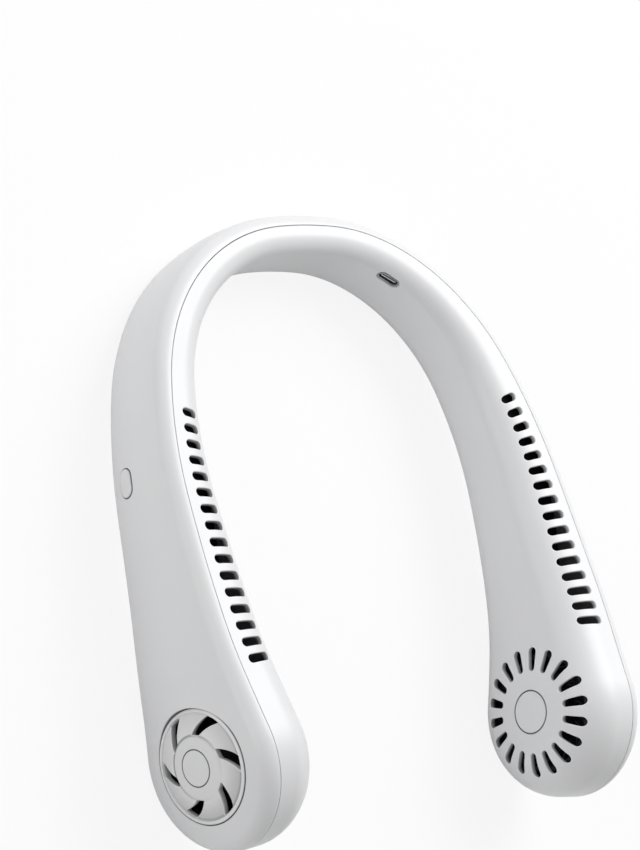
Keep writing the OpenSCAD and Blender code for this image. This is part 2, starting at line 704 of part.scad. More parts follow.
// Impeller with blades on both sides of its web
blade_steps = 5;
blade_sweep = 22;
module blade_outline() {
    function at(i, side) = let(f = i / blade_steps, r = impeller_r - web_t / 2 - blade_len * (1 - f),
            a = blade_sweep * f * f) [r * cos(a) - side * blade_t / 2 * sin(a),
            r * sin(a) + side * blade_t / 2 * cos(a)];
    polygon(concat([for (i = [0:blade_steps]) at(i, 1)], [for (i = [blade_steps:-1:0]) at(i, -1)]));
}
module impeller(side) {
    rim_w = blade_len / 4;
    color("dimgray") at_rest() on_fan(side) {
        difference() {
            translate([0, 0, can_low + web_t]) cylinder(r = hub_r, h = can_h);
            translate([0, 0, can_low - over]) cylinder(r = can_r + hub_gap, h = can_h + over + hub_gap);
        }
        translate([0, 0, can_top - web_t]) ring(hub_r - web_t / 2, impeller_r - web_t, web_t);
        translate([0, 0, web_t / 2 - impeller_low]) for (i = [0:blade_count - 1])
            rotate([0, 0, i * 360 / blade_count]) linear_extrude(impeller_h - web_t) blade_outline();
        translate([0, 0, -impeller_low]) ring(impeller_r - rim_w, impeller_r, web_t);
        translate([0, 0, impeller_h - impeller_low - web_t]) ring(impeller_r - rim_w, impeller_r, web_t);
    }
}

// Outrunner motor
module rotor_can(side) {
    color("silver") at_rest() on_fan(side) translate([0, 0, can_low]) difference() {
        cylinder(r = can_r, h = can_h);
        translate([0, 0, -over]) cylinder(r = can_r - can_t, h = can_h - can_t + over);
        cylinder(r = shaft_r, h = 2 * over);
    }
}
module magnet_ring(side) {
    color("dimgray") at_rest() on_fan(side) translate([0, 0, can_low])
        ring(magnet_r1, can_r - can_t, stator_h + coil_over);
}
module motor_shaft(side) {
    color("silver") at_rest() on_fan(side) translate([0, 0, base_top])
        cylinder(r = shaft_r, h = can_top - base_top);
}
module bearing(side) {
    color("darkgoldenrod") at_rest() on_fan(side) translate([0, 0, base_top])
        ring(shaft_r + bearing_fit, bearing_r, tube_len());
}
function tube_len() = can_top - can_t - 2 * flush_gap - base_top;
module stator_core(side) {
    color("slategray") at_rest() on_fan(side) translate([0, 0, stator_low]) {
        ring(tube_r, yoke_r, stator_h);
        for (i = [0:tooth_count - 1]) rotate([0, 0, i * 360 / tooth_count])
            translate([yoke_r - tip_t / 2, -tooth_w / 2, 0])
                cube([stator_r - yoke_r, tooth_w, stator_h]);
        intersection() {
            ring(stator_r - tip_t, stator_r, stator_h);
            for (i = [0:tooth_count - 1]) rotate([0, 0, i * 360 / tooth_count])
                linear_extrude(stator_h)
                    polygon([[0, 0], [2 * stator_r, -stator_r / 2], [2 * stator_r, stator_r / 2]]);
        }
    }
}
module coils(side) {
    color("sienna") at_rest() on_fan(side) translate([0, 0, stator_low])
        for (i = [0:tooth_count - 1]) rotate([0, 0, i * 360 / tooth_count]) difference() {
            translate([yoke_r + coil_t, -tooth_w / 2 - coil_t, -coil_over])
                cube([stator_r - tip_t - yoke_r - 2 * coil_t, tooth_w + 2 * coil_t,
                    stator_h + 2 * coil_over]);
            translate([0, -tooth_w / 2, 0]) cube([stator_r, tooth_w, stator_h]);
        }
}
module motor_base(side) {
    color("darkgray") at_rest() on_fan(side) difference() {
        union() {
            translate([0, 0, -boss_top]) cylinder(r = base_r, h = base_t);
            translate([0, 0, -boss_top]) cylinder(r = tube_r, h = base_t + tube_len());
        }
        translate([0, 0, base_top]) cylinder(r = bearing_r, h = 2 * over);
        motor_screw_places() translate([0, 0, -over]) cylinder(r = screw_r, h = 2 * over);
    }
}
module motor_screw_places() {
    for (i = [0:motor_screw_count - 1]) rotate([0, 0, i * 360 / motor_screw_count])
        translate([motor_screw_pcr, 0, base_top]) children();
}
module motor_screws(side) {
    color("silver") at_rest() on_fan(side) motor_screw_places() screw();
}
module motor_board(side) {
    color("darkgreen") at_rest() on_fan(side) translate([0, 0, base_top])
        ring(tube_r, motor_screw_pcr - screw_head_r - flush_gap, board_t);
}

// Air guide: the volute wall round the impeller and the duct floor along the arm
volute_r = impeller_r + volute_gap;
volute_lift = 2.9;
volute_over = 0.5;
volute_low = impeller_low - volute_lift;
volute_h = impeller_h - volute_lift + volute_over;
volute_from = -15;
volute_to = 225;
volute_lap = 3;
floor_from_s = pod_s + (volute_r + guide_t / 2) * sin(volute_to - volute_lap);
floor_from_z = fan_z + (volute_r + guide_t / 2) * cos(volute_to - volute_lap) - guide_t / 2;
floor_to_s = outlet_s - outlet_pitch;
floor_to_z = top_z(floor_to_s) - wall - 3 * guide_t;
floor_steps = 24;
floor_power = 2.5;
side_gap = 0.3;
function floor_s(i) = floor_from_s + (floor_to_s - floor_from_s) * i / floor_steps;
function floor_at(i) = let(t = i / floor_steps)
    floor_from_z + (floor_to_z - floor_from_z) * (1 - pow(1 - t, floor_power));
function floor_ring(i) = let(s = floor_s(i), z = floor_at(i), dm = half_h(s),
        d = min(top_z(s) - z - guide_t, z - low_z(s)), n1 = inner_n(s, d, dm, wall) + side_gap,
        n2 = outer_n(d, dm, wall) - side_gap)
    [place(s, n1, z), place(s, n2, z), place(s, n2, z + guide_t), place(s, n1, z + guide_t)];
module tube(rings) {
    k = len(rings[0]);
    n = len(rings);
    polyhedron([for (r = rings) for (p = r) p], concat(
        [for (i = [0:n - 2]) for (j = [0:k - 1]) [i * k + j, i * k + (j + 1) % k, i * k + k + j]],
        [for (i = [0:n - 2]) for (j = [0:k - 1])
            [i * k + (j + 1) % k, i * k + k + (j + 1) % k, i * k + k + j]],
        [[for (j = [k - 1:-1:0]) j]], [[for (j = [0:k - 1]) (n - 1) * k + j]]), convexity = 6);
}
module air_guide(side) {
    color("lightgray") at_rest() {
        on_fan(side) translate([0, 0, -volute_low]) difference() {
            ring(volute_r, volute_r + guide_t, volute_h);
            linear_extrude(3 * volute_h, center = true) polygon(concat([[0, 0]],
                [for (i = [0:6]) let(a = volute_to + (360 + volute_from - volute_to) * i / 6)
                    [2 * volute_r * cos(a), 2 * volute_r * sin(a)]]));
        }
        on_arm(side) tube([for (i = [0:floor_steps]) floor_ring(i)]);
    }
}

// Battery cells on foam tape, against ribs of the inner shell
module battery_cell(side) {
    color("silver") at_rest() at_station(side, cell_s, cell_n, cell_z)
        rotate([0, cell_lean, 0]) rotate([90, 0, 90]) linear_extrude(cell_len, center = true) {
            square([cell_t - 2 * lip_t, cell_h], center = true);
            square([cell_t, cell_h - 2 * lip_t], center = true);
            for (x = [-1, 1]) for (y = [-1, 1])
                translate([x * (cell_t / 2 - lip_t), y * (cell_h / 2 - lip_t)]) circle(lip_t);
        }
}
module battery_pad(side) {
    color("black") at_rest() at_station(side, cell_s, cell_n - cell_t / 2 - pad_t / 2, cell_z)
        rotate([0, cell_lean, 0]) cube([cell_len - 4 * rib_t, pad_t, cell_h - 4 * lip_t], center = true);
}

// Leads: points are [share of the pod distance, share of the depth on that side, share of the height]
lead_sides = 8;
lead_parts = 4;
lead_ref_share = 0.7;
motor_lead_end_shares = [[0.991, -0.905, 0.391], [0.985, -0.905, 0.34], [0.972, -0.94, 0.32],
    [0.95, -1, 0.3], [0.94, -0.86, 0.197], [0.925, -0.52, 0.126], [0.882, -0.42, 0.089],
    [0.84, -0.31, 0.077], [0.789, -0.26, 0.082], [0.721, -0.24, 0.077], [0.658, -0.16, 0.094]];
right_motor_lead_shares = concat(motor_lead_end_shares, [[0.632, -0.125, 0.13], [0.62, -0.12, 0.165],
    [0.609, -0.105, 0.19]]);
left_motor_lead_shares = concat(motor_lead_end_shares, [[0.56, -0.2, 0.096], [0.46, -0.2, 0.12],
    [0.36, -0.22, 0.13], [0.27, -0.25, 0.16], [0.227, -0.28, 0.36], [0.222, -0.3, 0.52],
    [0.222, -0.3, 0.682]]);
neck_harness_shares = [[-0.545, -0.11, 0.19], [-0.54, -0.2, 0.19], [-0.5, -0.27, 0.2],
    [-0.42, -0.27, 0.22], [-0.32, -0.28, 0.24], [-0.2, -0.28, 0.25], [-0.08, -0.28, 0.26],
    [0.04, -0.28, 0.27], [0.12, -0.28, 0.32], [0.163, -0.28, 0.45], [0.17, -0.28, 0.56],
    [0.17, -0.28, 0.682]];
right_battery_lead_shares = [[0.572, -0.464, 0.368], [0.566, -0.464, 0.368], [0.556, -0.4, 0.368],
    [0.553, -0.28, 0.37], [0.555, -0.17, 0.37], [0.556, -0.1, 0.37]];
left_battery_lead_shares = [[0.572, -0.464, 0.368], [0.56, -0.464, 0.366], [0.53, -0.42, 0.36],
    [0.42, -0.36, 0.38], [0.32, -0.3, 0.42], [0.25, -0.16, 0.48], [0.21, -0.14, 0.55],
    [0.2, -0.14, 0.61], [0.2, -0.14, 0.682]];
function lead_point(p) = let(a = abs(p[0]) * pod_s)
    place(p[0] * pod_s, p[1] * depth(a), low_z(a) + p[2] * 2 * half_h(a));
function spline(a, b, c, d, t) = 0.5 * (2 * b + (c - a) * t + (2 * a - 5 * b + 4 * c - d) * t * t
    + (3 * b - a - 3 * c + d) * t * t * t);
function smooth(p) = concat([for (i = [0:len(p) - 2]) for (j = [0:lead_parts - 1])
    spline(p[max(0, i - 1)], p[i], p[i + 1], p[min(len(p) - 1, i + 2)], j / lead_parts)],
    [p[len(p) - 1]]);
function unit(v) = v / norm(v);
function lead_ring(path, i, r) = let(n = len(path) - 1, s = path[i][0],
        t = unit(lead_point(path[min(n, i + 1)]) - lead_point(path[max(0, i - 1)])),
        h = heading(abs(s) * pod_s), out = [(s < 0 ? -1 : 1) * sin(h), cos(h), lead_ref_share],
        v = unit(cross(t, out)), u = cross(v, t))
    [for (j = [0:lead_sides - 1]) let(a = j * 360 / lead_sides)
        lead_point(path[i]) + r * cos(a) * u - r * sin(a) * v];
module lead(shares, r) {
    path = smooth(shares);
    tube([for (i = [0:len(path) - 1]) lead_ring(path, i, r)]);
}
module neck_harness() {
    color("black") at_rest() lead(neck_harness_shares, lead_r * 1.25);
}
module right_motor_lead() {
    color("black") at_rest() on_arm(-1) lead(right_motor_lead_shares, lead_r);
}
module left_motor_lead() {
    color("black") at_rest() lead(left_motor_lead_shares, lead_r);
}
module right_battery_lead() {
    color("red") at_rest() on_arm(-1) lead(right_battery_lead_shares, lead_r);
}
module left_battery_lead() {
    color("red") at_rest() lead(left_battery_lead_shares, lead_r);
}

outer_shell();
inner_shell();
power_button();
switch_stem();
power_switch();
control_board();
control_board_screws();
usb_c_socket();
charge_board();
charge_board_screws();
neck_harness();
intake_grille(-1);  // right_intake_grille
intake_grille(1);  // left_intake_grille
grille_cap(-1);  // right_grille_cap
grille_cap(1);  // left_grille_cap
inner_disc(-1);  // right_inner_disc
inner_disc(1);  // left_inner_disc
impeller(-1);  // right_impeller
impeller(1);  // left_impeller
rotor_can(-1);  // right_rotor_can
rotor_can(1);  // left_rotor_can
magnet_ring(-1);  // right_magnet_ring
magnet_ring(1);  // left_magnet_ring
motor_shaft(-1);  // right_motor_shaft
motor_shaft(1);  // left_motor_shaft
bearing(-1);  // right_bearing
bearing(1);  // left_bearing
stator_core(-1);  // right_stator_core
stator_core(1);  // left_stator_core
coils(-1);  // right_coils
coils(1);  // left_coils
motor_base(-1);  // right_motor_base
motor_base(1);  // left_motor_base
motor_board(-1);  // right_motor_board
motor_board(1);  // left_motor_board
motor_screws(-1);  // right_motor_screws
motor_screws(1);  // left_motor_screws
air_guide(-1);  // right_air_guide
air_guide(1);  // left_air_guide
battery_cell(-1);  // right_battery_cell
battery_cell(1);  // left_battery_cell
battery_pad(-1);  // right_battery_pad
battery_pad(1);  // left_battery_pad
right_motor_lead();
left_motor_lead();
right_battery_lead();
left_battery_lead();
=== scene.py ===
"""Dressed scene of the neck fan: smooth skins, grilles, discs, button, finishes, light and camera."""

import json
import logging
import math
from dataclasses import dataclass, field
from enum import Enum
from typing import Callable, Sequence

import bpy
import numpy as np
from mathutils import Matrix, Vector
from mathutils.geometry import delaunay_2d_cdt

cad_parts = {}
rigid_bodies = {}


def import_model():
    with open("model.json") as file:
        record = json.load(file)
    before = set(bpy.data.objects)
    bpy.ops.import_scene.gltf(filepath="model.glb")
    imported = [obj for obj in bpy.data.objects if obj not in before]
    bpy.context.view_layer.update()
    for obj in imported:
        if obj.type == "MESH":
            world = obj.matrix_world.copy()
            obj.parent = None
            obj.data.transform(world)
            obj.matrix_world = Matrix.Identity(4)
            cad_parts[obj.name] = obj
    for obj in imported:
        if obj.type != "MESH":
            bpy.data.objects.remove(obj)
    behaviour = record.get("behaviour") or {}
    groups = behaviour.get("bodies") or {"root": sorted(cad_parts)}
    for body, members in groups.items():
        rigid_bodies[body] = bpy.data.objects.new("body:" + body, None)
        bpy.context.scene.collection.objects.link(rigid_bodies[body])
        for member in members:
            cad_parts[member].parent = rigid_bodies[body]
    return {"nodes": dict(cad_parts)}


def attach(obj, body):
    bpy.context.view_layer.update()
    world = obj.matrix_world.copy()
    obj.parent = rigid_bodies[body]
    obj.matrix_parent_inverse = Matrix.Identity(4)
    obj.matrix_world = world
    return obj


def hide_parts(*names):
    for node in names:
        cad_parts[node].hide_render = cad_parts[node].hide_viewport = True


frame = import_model()
log = logging.getLogger("neck_fan")

Array = np.ndarray
Surface = Callable[[Array], Array]
MM = 0.001
PHOTO_HEIGHT = 850
TINY = 1e-12
LIP_STEPS = 4
SLOT_STEPS = 8
PILL_STEPS = 12
DISC_POINTS = 96
CAP_POINTS = 90
RIM_POINTS = 180
OPENING_POINTS = 200
HALVINGS = 40
WHITE = (1.0, 1.0, 1.0, 1.0)
# Colours of painted shade and painted highlights, which the white plastics blend towards by their shade
# attribute.
PAINTED_SHADE_COLOR = (0.07, 0.07, 0.075, 1.0)
PAINTED_HIGHLIGHT_COLOR = (0.96, 0.96, 0.97, 1.0)


class Side(Enum):
    """An arm of the band, by the sign of its distance along it."""

    LEFT = 1
    RIGHT = -1


class Look(Enum):
    """What the surface of a finish shows."""

    MOULDED = "moulded plastic with a fine spark-eroded grain"
    TURNED = "turned or ground metal with fine tool marks"
    STACKED = "thin sheets on top of each other"
    WOUND = "enamelled wire in rows"
    BOARD = "solder mask over copper tracks"
    FOIL = "creased foil"
    FOAM = "open foam"
    CABLE = "soft extruded plastic"


def unit(v: Array) -> Array:
    """Return the rows of v, each divided by its length."""
    return v / np.maximum(np.linalg.norm(v, axis=-1, keepdims=True), TINY)


def ramp(x: Array, start: float, end: float) -> Array:
    """Return u * u * (3 - 2 * u), where u is the share of the way from start to end, held in 0 to 1."""
    u = np.clip((x - start) / (end - start), 0.0, 1.0)
    return u * u * (3.0 - 2.0 * u)


def circle(radius: float, count: int, centre: tuple[float, float] = (0.0, 0.0)) -> Array:
    """Return count points centre + radius * (cos a, sin a) at even angles a."""
    a = np.arange(count) * (2.0 * math.pi / count)
    return np.stack([centre[0] + radius * np.cos(a), centre[1] + radius * np.sin(a)], axis=1)


def capsule(p: tuple[float, float], rp: float, q: tuple[float, float], rq: float, steps: int) -> Array:
    """Return the outline of two circles and the straight sides between them.

    The first half circle goes round p with radius rp, turned away from q, the second one round q with
    radius rq: centre + r * (cos a, sin a). The straight sides get points in between by steps.

    Args:
        p: Centre of the first end.
        rp: Radius of the first end.
        q: Centre of the second end.
        rq: Radius of the second end.
        steps: Number of parts of each half circle.

    Returns:
        Points of the closed outline, one row each.
    """
    a0 = math.atan2(q[1] - p[1], q[0] - p[0])
    a = np.linspace(0.5 * math.pi, 1.5 * math.pi, steps + 1) + a0
    first = np.stack([p[0] + rp * np.cos(a), p[1] + rp * np.sin(a)], axis=1)
    b = np.linspace(-0.5 * math.pi, 0.5 * math.pi, steps + 1) + a0
    second = np.stack([q[0] + rq * np.cos(b), q[1] + rq * np.sin(b)], axis=1)
    f = (np.arange(1, steps) / steps)[:, None]
    there = first[-1] + (second[0] - first[-1]) * f
    back = second[-1] + (first[0] - second[-1]) * f
    return np.concatenate([first, there, second, back])


def end_arc(radius: float, turns: int) -> Array:
    """Return (pod_s + radius * cos a, radius * sin a) for a from 90 to -90 degrees, without both ends."""
    a = np.linspace(0.5 * math.pi, -0.5 * math.pi, turns + 1)[1:-1]
    return np.stack([BAND.pod_s + radius * np.cos(a), radius * np.sin(a)], axis=1)


def edge_distance(points: Array, ring: Array) -> Array:
    """Return the shortest distance from each point to an edge of a closed ring.

    Args:
        points: Rows of (x, y).
        ring: Points of the closed ring, one row each.

    Returns:
        One distance for each point.
    """
    p = points[:, None, :]
    a, b = ring[None, :, :], np.roll(ring, -1, axis=0)[None, :, :]
    ab = b - a
    f = np.clip(((p - a) * ab).sum(-1) / np.maximum((ab * ab).sum(-1), TINY), 0.0, 1.0)
    return np.linalg.norm(p - a - ab * f[..., None], axis=-1).min(axis=1)


def near_ring(points: Array, ring: Array, margin: float) -> Array:
    """Say which points lie inside a closed ring or within margin of it.

    Inside is the even-odd rule over the ring's edges, and the distance is the shortest one to an edge.

    Args:
        points: Points to test, one row each.
        ring: Closed outline, one row each.
        margin: Distance within which a point counts as near.

    Returns:
        A truth value for each point.
    """
    found = np.zeros(len(points), dtype=bool)
    low, high = ring.min(axis=0) - margin, ring.max(axis=0) + margin
    picked = np.nonzero(np.all((points > low) & (points < high), axis=1))[0]
    if len(picked) == 0:
        return found
    p = points[picked][:, None, :]
    a, b = ring[None, :, :], np.roll(ring, -1, axis=0)[None, :, :]
    ab = b - a
    crosses = (a[..., 1] > p[..., 1]) != (b[..., 1] > p[..., 1])
    rise = np.where(ab[..., 1] == 0.0, TINY, ab[..., 1])
    at = a[..., 0] + (p[..., 1] - a[..., 1]) * ab[..., 0] / rise
    inside = (crosses & (p[..., 0] < at)).sum(axis=1) % 2 == 1
    found[picked] = (edge_distance(points[picked], ring) < margin) | inside
    return found


def normals_of(surface: Surface, xy: Array, sign: float) -> Array:
    """Return sign times the unit cross product of the surface's two central differences at xy.

    Args:
        surface: Function from the plane to places.
        xy: Rows of (x, y).
        sign: 1 for the front of the surface, -1 for its back.

    Returns:
        One normal for each row.
    """
    e = 0.01
    dx, dy = np.array([[e, 0.0]]), np.array([[0.0, e]])
    return sign * unit(np.cross(surface(xy + dx) - surface(xy - dx), surface(xy + dy) - surface(xy - dy)))


@dataclass
class Ring:
    """A closed ring of mesh points that is shared by the faces on both sides of it."""

    ids: Array
    at: Array
    xy: Array | None = None


def clear_of(points: Array, rings: Sequence[Ring], margin: float) -> Array:
    """Return the points that lie outside every ring, and at least margin away from it.

    Args:
        points: Rows of (x, y).
        rings: Rings to stay clear of.
        margin: Least distance to each ring.

    Returns:
        The rows that are kept.
    """
    keep = np.ones(len(points), dtype=bool)
    for ring in rings:
        keep &= ~near_ring(points, ring.xy, margin)
    return points[keep]


class Solid:
    """A closed piece made of triangles, with its own normal at each corner of each triangle.

    Each point also has a painted shade value, which its finish reads: 1 for a painted highlight on an edge,
    -1 for painted shade deep in a groove.
    """

    def __init__(self) -> None:
        """Start with no points and no triangles."""
        self.points: list[Array] = []
        self.painted_shades: list[Array] = []
        self.count = 0
        self.triangles: list[Array] = []
        self.corners: list[Array] = []

    def ring(self, at: Array, xy: Array | None = None, shade: Array | float = 0.0) -> Ring:
        """Add points at the given places in millimetres, with their painted shade value, and return them as
        a ring.

        Args:
            at: Places, one row each.
            xy: Their points in the plane, if they have them.
            shade: One painted shade value, or one for each point; above 0 it is a painted highlight, below 0
                painted shade.

        Returns:
            The new ring.
        """
        ids = np.arange(self.count, self.count + len(at))
        self.points.append(at)
        self.painted_shades.append(np.zeros(len(at)) + shade)
        self.count += len(at)
        return Ring(ids, at, xy)

    def faces(self, triangles: Array, corners: Array) -> None:
        """Add triangles whose winding agrees with their corner normals.

        The whole set is turned round if the sum of cross(b - a, c - a) . normal is negative.

        Args:
            triangles: Rows of three point numbers.
            corners: Normal of each corner, rows of three by three.
        """
        at = np.concatenate(self.points)[triangles]
        facing = np.cross(at[:, 1] - at[:, 0], at[:, 2] - at[:, 0])
        if (facing * corners.sum(axis=1)).sum() < 0.0:
            triangles, corners = triangles[:, ::-1], corners[:, ::-1]
        self.triangles.append(triangles)
        self.corners.append(corners)

    def strip(self, a: Ring, b: Ring, na: Array, nb: Array) -> Ring:
        """Join two rings of the same length with triangles.

        Args:
            a: First ring.
            b: Second ring.
            na: Normals along the first ring, or one normal.
            nb: Normals along the second ring, or one normal.

        Returns:
            The second ring.
        """
        na, nb = np.broadcast_to(na, a.at.shape), np.broadcast_to(nb, b.at.shape)
        i, j = np.arange(len(a.ids)), np.roll(np.arange(len(a.ids)), -1)
        lower = np.stack([a.ids[i], a.ids[j], b.ids[i]], axis=1)
        upper = np.stack([b.ids[i], a.ids[j], b.ids[j]], axis=1)
        lower_n = np.stack([na[i], na[j], nb[i]], axis=1)
        upper_n = np.stack([nb[i], na[j], nb[j]], axis=1)
        self.faces(np.concatenate([lower, upper]), np.concatenate([lower_n, upper_n]))
        return b

    def lip(self, start: Ring, edge: Array, inward: Array, radius: float, normals: Array,
            painted_highlight: float = 0.0, dark: float = 0.0) -> tuple[Ring, Array]:
        """Round the corner from a surface into a wall.

        With the centre C = start + radius * inward, the points are
        C - radius * inward * cos t + (edge - start) * sin t, for t from 0 to 90 degrees. Their painted shade
        value is glow * sin 2t - dark * sin t: a painted highlight halfway round, painted shade at the deep
        end.

        Args:
            start: Ring on the surface where the rounding starts.
            edge: Places on the surface where the wall would meet it with a sharp corner.
            inward: Unit direction of the wall, away from the surface.
            radius: Depth of the rounding.
            normals: Normals of the surface along the start ring.
            painted_highlight: Strength of the painted highlight on the rounding.
            dark: Strength of the painted shade at its deep end.

        Returns:
            The ring where the wall starts, and the wall's normals there.
        """
        inward = np.broadcast_to(inward, start.at.shape)
        out = edge - start.at
        wall = unit(out - inward * (out * inward).sum(-1, keepdims=True))
        before, n0 = start, normals
        for k in range(1, LIP_STEPS + 1):
            t = 0.5 * math.pi * k / LIP_STEPS
            at = start.at + radius * inward * (1.0 - math.cos(t)) + out * math.sin(t)
            n1 = unit(normals * math.cos(t) + wall * math.sin(t))
            shade = painted_highlight * math.sin(2.0 * t) - dark * math.sin(t)
            before, n0 = self.strip(before, self.ring(at, shade=shade), n0, n1), n1
        return before, wall

    def patch(self, rings: Sequence[Ring], inner: Array, surface: Surface, sign: float,
              shade: Array | float = 0.0) -> None:
        """Fill the surface between an outline and its holes with triangles.

        Only a triangle with all its corners on one ring can lie outside the outline or in a hole, and
        its middle says whether it does.

        Args:
            rings: The outline first, then the holes, each with its places in the surface's plane.
            inner: Points of the plane that lie between them.
            surface: Place in millimetres of each point of the plane.
            sign: Side that the normals point to.
            shade: Painted shade value of the points in between.
        """
        grid = self.ring(surface(inner), inner, shade)
        ids = np.concatenate([r.ids for r in rings] + [grid.ids])
        xy = np.concatenate([r.xy for r in rings] + [inner])
        edges: list[tuple[int, int]] = []
        start = 0
        for r in rings:
            k = np.arange(len(r.ids))
            edges += list(zip((start + k).tolist(), (start + np.roll(k, -1)).tolist()))
            start += len(r.ids)
        found = delaunay_2d_cdt([Vector(p) for p in xy.tolist()], edges, [], 0, 1e-7, True)
        origin = np.array([o[0] if o else -1 for o in found[3]])
        triangles = origin[np.array([f for f in found[2] if len(f) == 3])]
        if triangles.min() < 0:
            log.warning("an outline crosses itself or a hole")
            triangles = triangles[(triangles >= 0).all(axis=1)]
        sizes = [len(r.ids) for r in rings] + [len(grid.ids)]
        owner = np.repeat(np.arange(len(rings) + 1), sizes)[triangles]
        keep = np.ones(len(triangles), dtype=bool)
        for k, r in enumerate(rings):
            same = np.nonzero((owner == k).all(axis=1))[0]
            inside = near_ring(xy[triangles[same]].mean(axis=1), r.xy, 0.0)
            keep[same] = inside if k == 0 else ~inside
        triangles = triangles[keep]
        normals = normals_of(surface, xy, sign)
        self.faces(ids[triangles], normals[triangles])

    def fan(self, rim: Ring, normal: Array) -> None:
        """Close a flat ring with triangles to the middle of its points.

        Args:
            rim: The ring to close.
            normal: Normal of the flat.
        """
        middle = self.ring(rim.at.mean(axis=0)[None, :])
        k = np.arange(len(rim.ids))
        triangles = np.stack([rim.ids, rim.ids[np.roll(k, -1)], np.full(len(k), middle.ids[0])], axis=1)
        self.faces(triangles, np.broadcast_to(normal, (len(k), 3, 3)))

    def pocket(self, end: Ring, wall: Array, edge: Array, inward: Array, depth: float,
               shade: float) -> None:
        """Close a pocket with a straight wall and a flat floor.

        Args:
            end: Ring where the wall starts.
            wall: Normals of the wall.
            edge: Sharp edge of the pocket, whose highest point the depth is measured from.
            inward: Direction of the pocket.
            depth: Depth of the floor.
            shade: Painted shade value of the floor.
        """
        level = float((edge @ inward).min()) + depth
        floor = self.ring(edge + (level - edge @ inward)[:, None] * inward, shade=shade)
        self.strip(end, floor, wall, wall)
        self.fan(floor, -inward)

    def finish(self, name: str, replaces: Sequence[str], body: str, slot: str) -> bpy.types.Object:
        """Make the mesh in metres, with its corner normals and painted shade values, and enter it in the
        frame.

        Args:
            name: Name of the object.
            replaces: Nodes whose place it takes.
            body: Body that it rides on.
            slot: Slot of its finish; not used here.

        Returns:
            The object.
        """
        mesh = bpy.data.meshes.new(name)
        triangles = np.concatenate(self.triangles).astype(np.int32)
        corners = np.concatenate(self.corners).reshape(-1, 3)
        points = (np.concatenate(self.points) * MM).astype(np.float32)
        used = np.unique(triangles)
        place = np.full(len(points), -1, dtype=np.int32)
        place[used] = np.arange(len(used), dtype=np.int32)
        triangles, points = place[triangles], points[used]
        mesh.vertices.add(len(points))
        mesh.vertices.foreach_set("co", points.ravel())
        mesh.loops.add(triangles.size)
        mesh.loops.foreach_set("vertex_index", triangles.ravel())
        mesh.polygons.add(len(triangles))
        mesh.polygons.foreach_set("loop_start", np.arange(0, triangles.size, 3, dtype=np.int32))
        mesh.polygons.foreach_set("use_smooth", np.ones(len(triangles), dtype=bool))
        mesh.update(calc_edges=True)
        mesh.normals_split_custom_set(corners.tolist())
        # The shade attribute carries the painted highlights and painted shade to the finish.
        painted_shades = mesh.attributes.new("shade", "FLOAT", "POINT")
        painted_shades.data.foreach_set("value", np.concatenate(self.painted_shades)[used].astype(np.float32))
        mesh.update()
        piece = bpy.data.objects.new(name, mesh)
        bpy.context.scene.collection.objects.link(piece)
        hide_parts(*replaces)
        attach(piece, body)
        log.info("%s: %d points, %d triangles", name, len(points), len(triangles))
        return piece


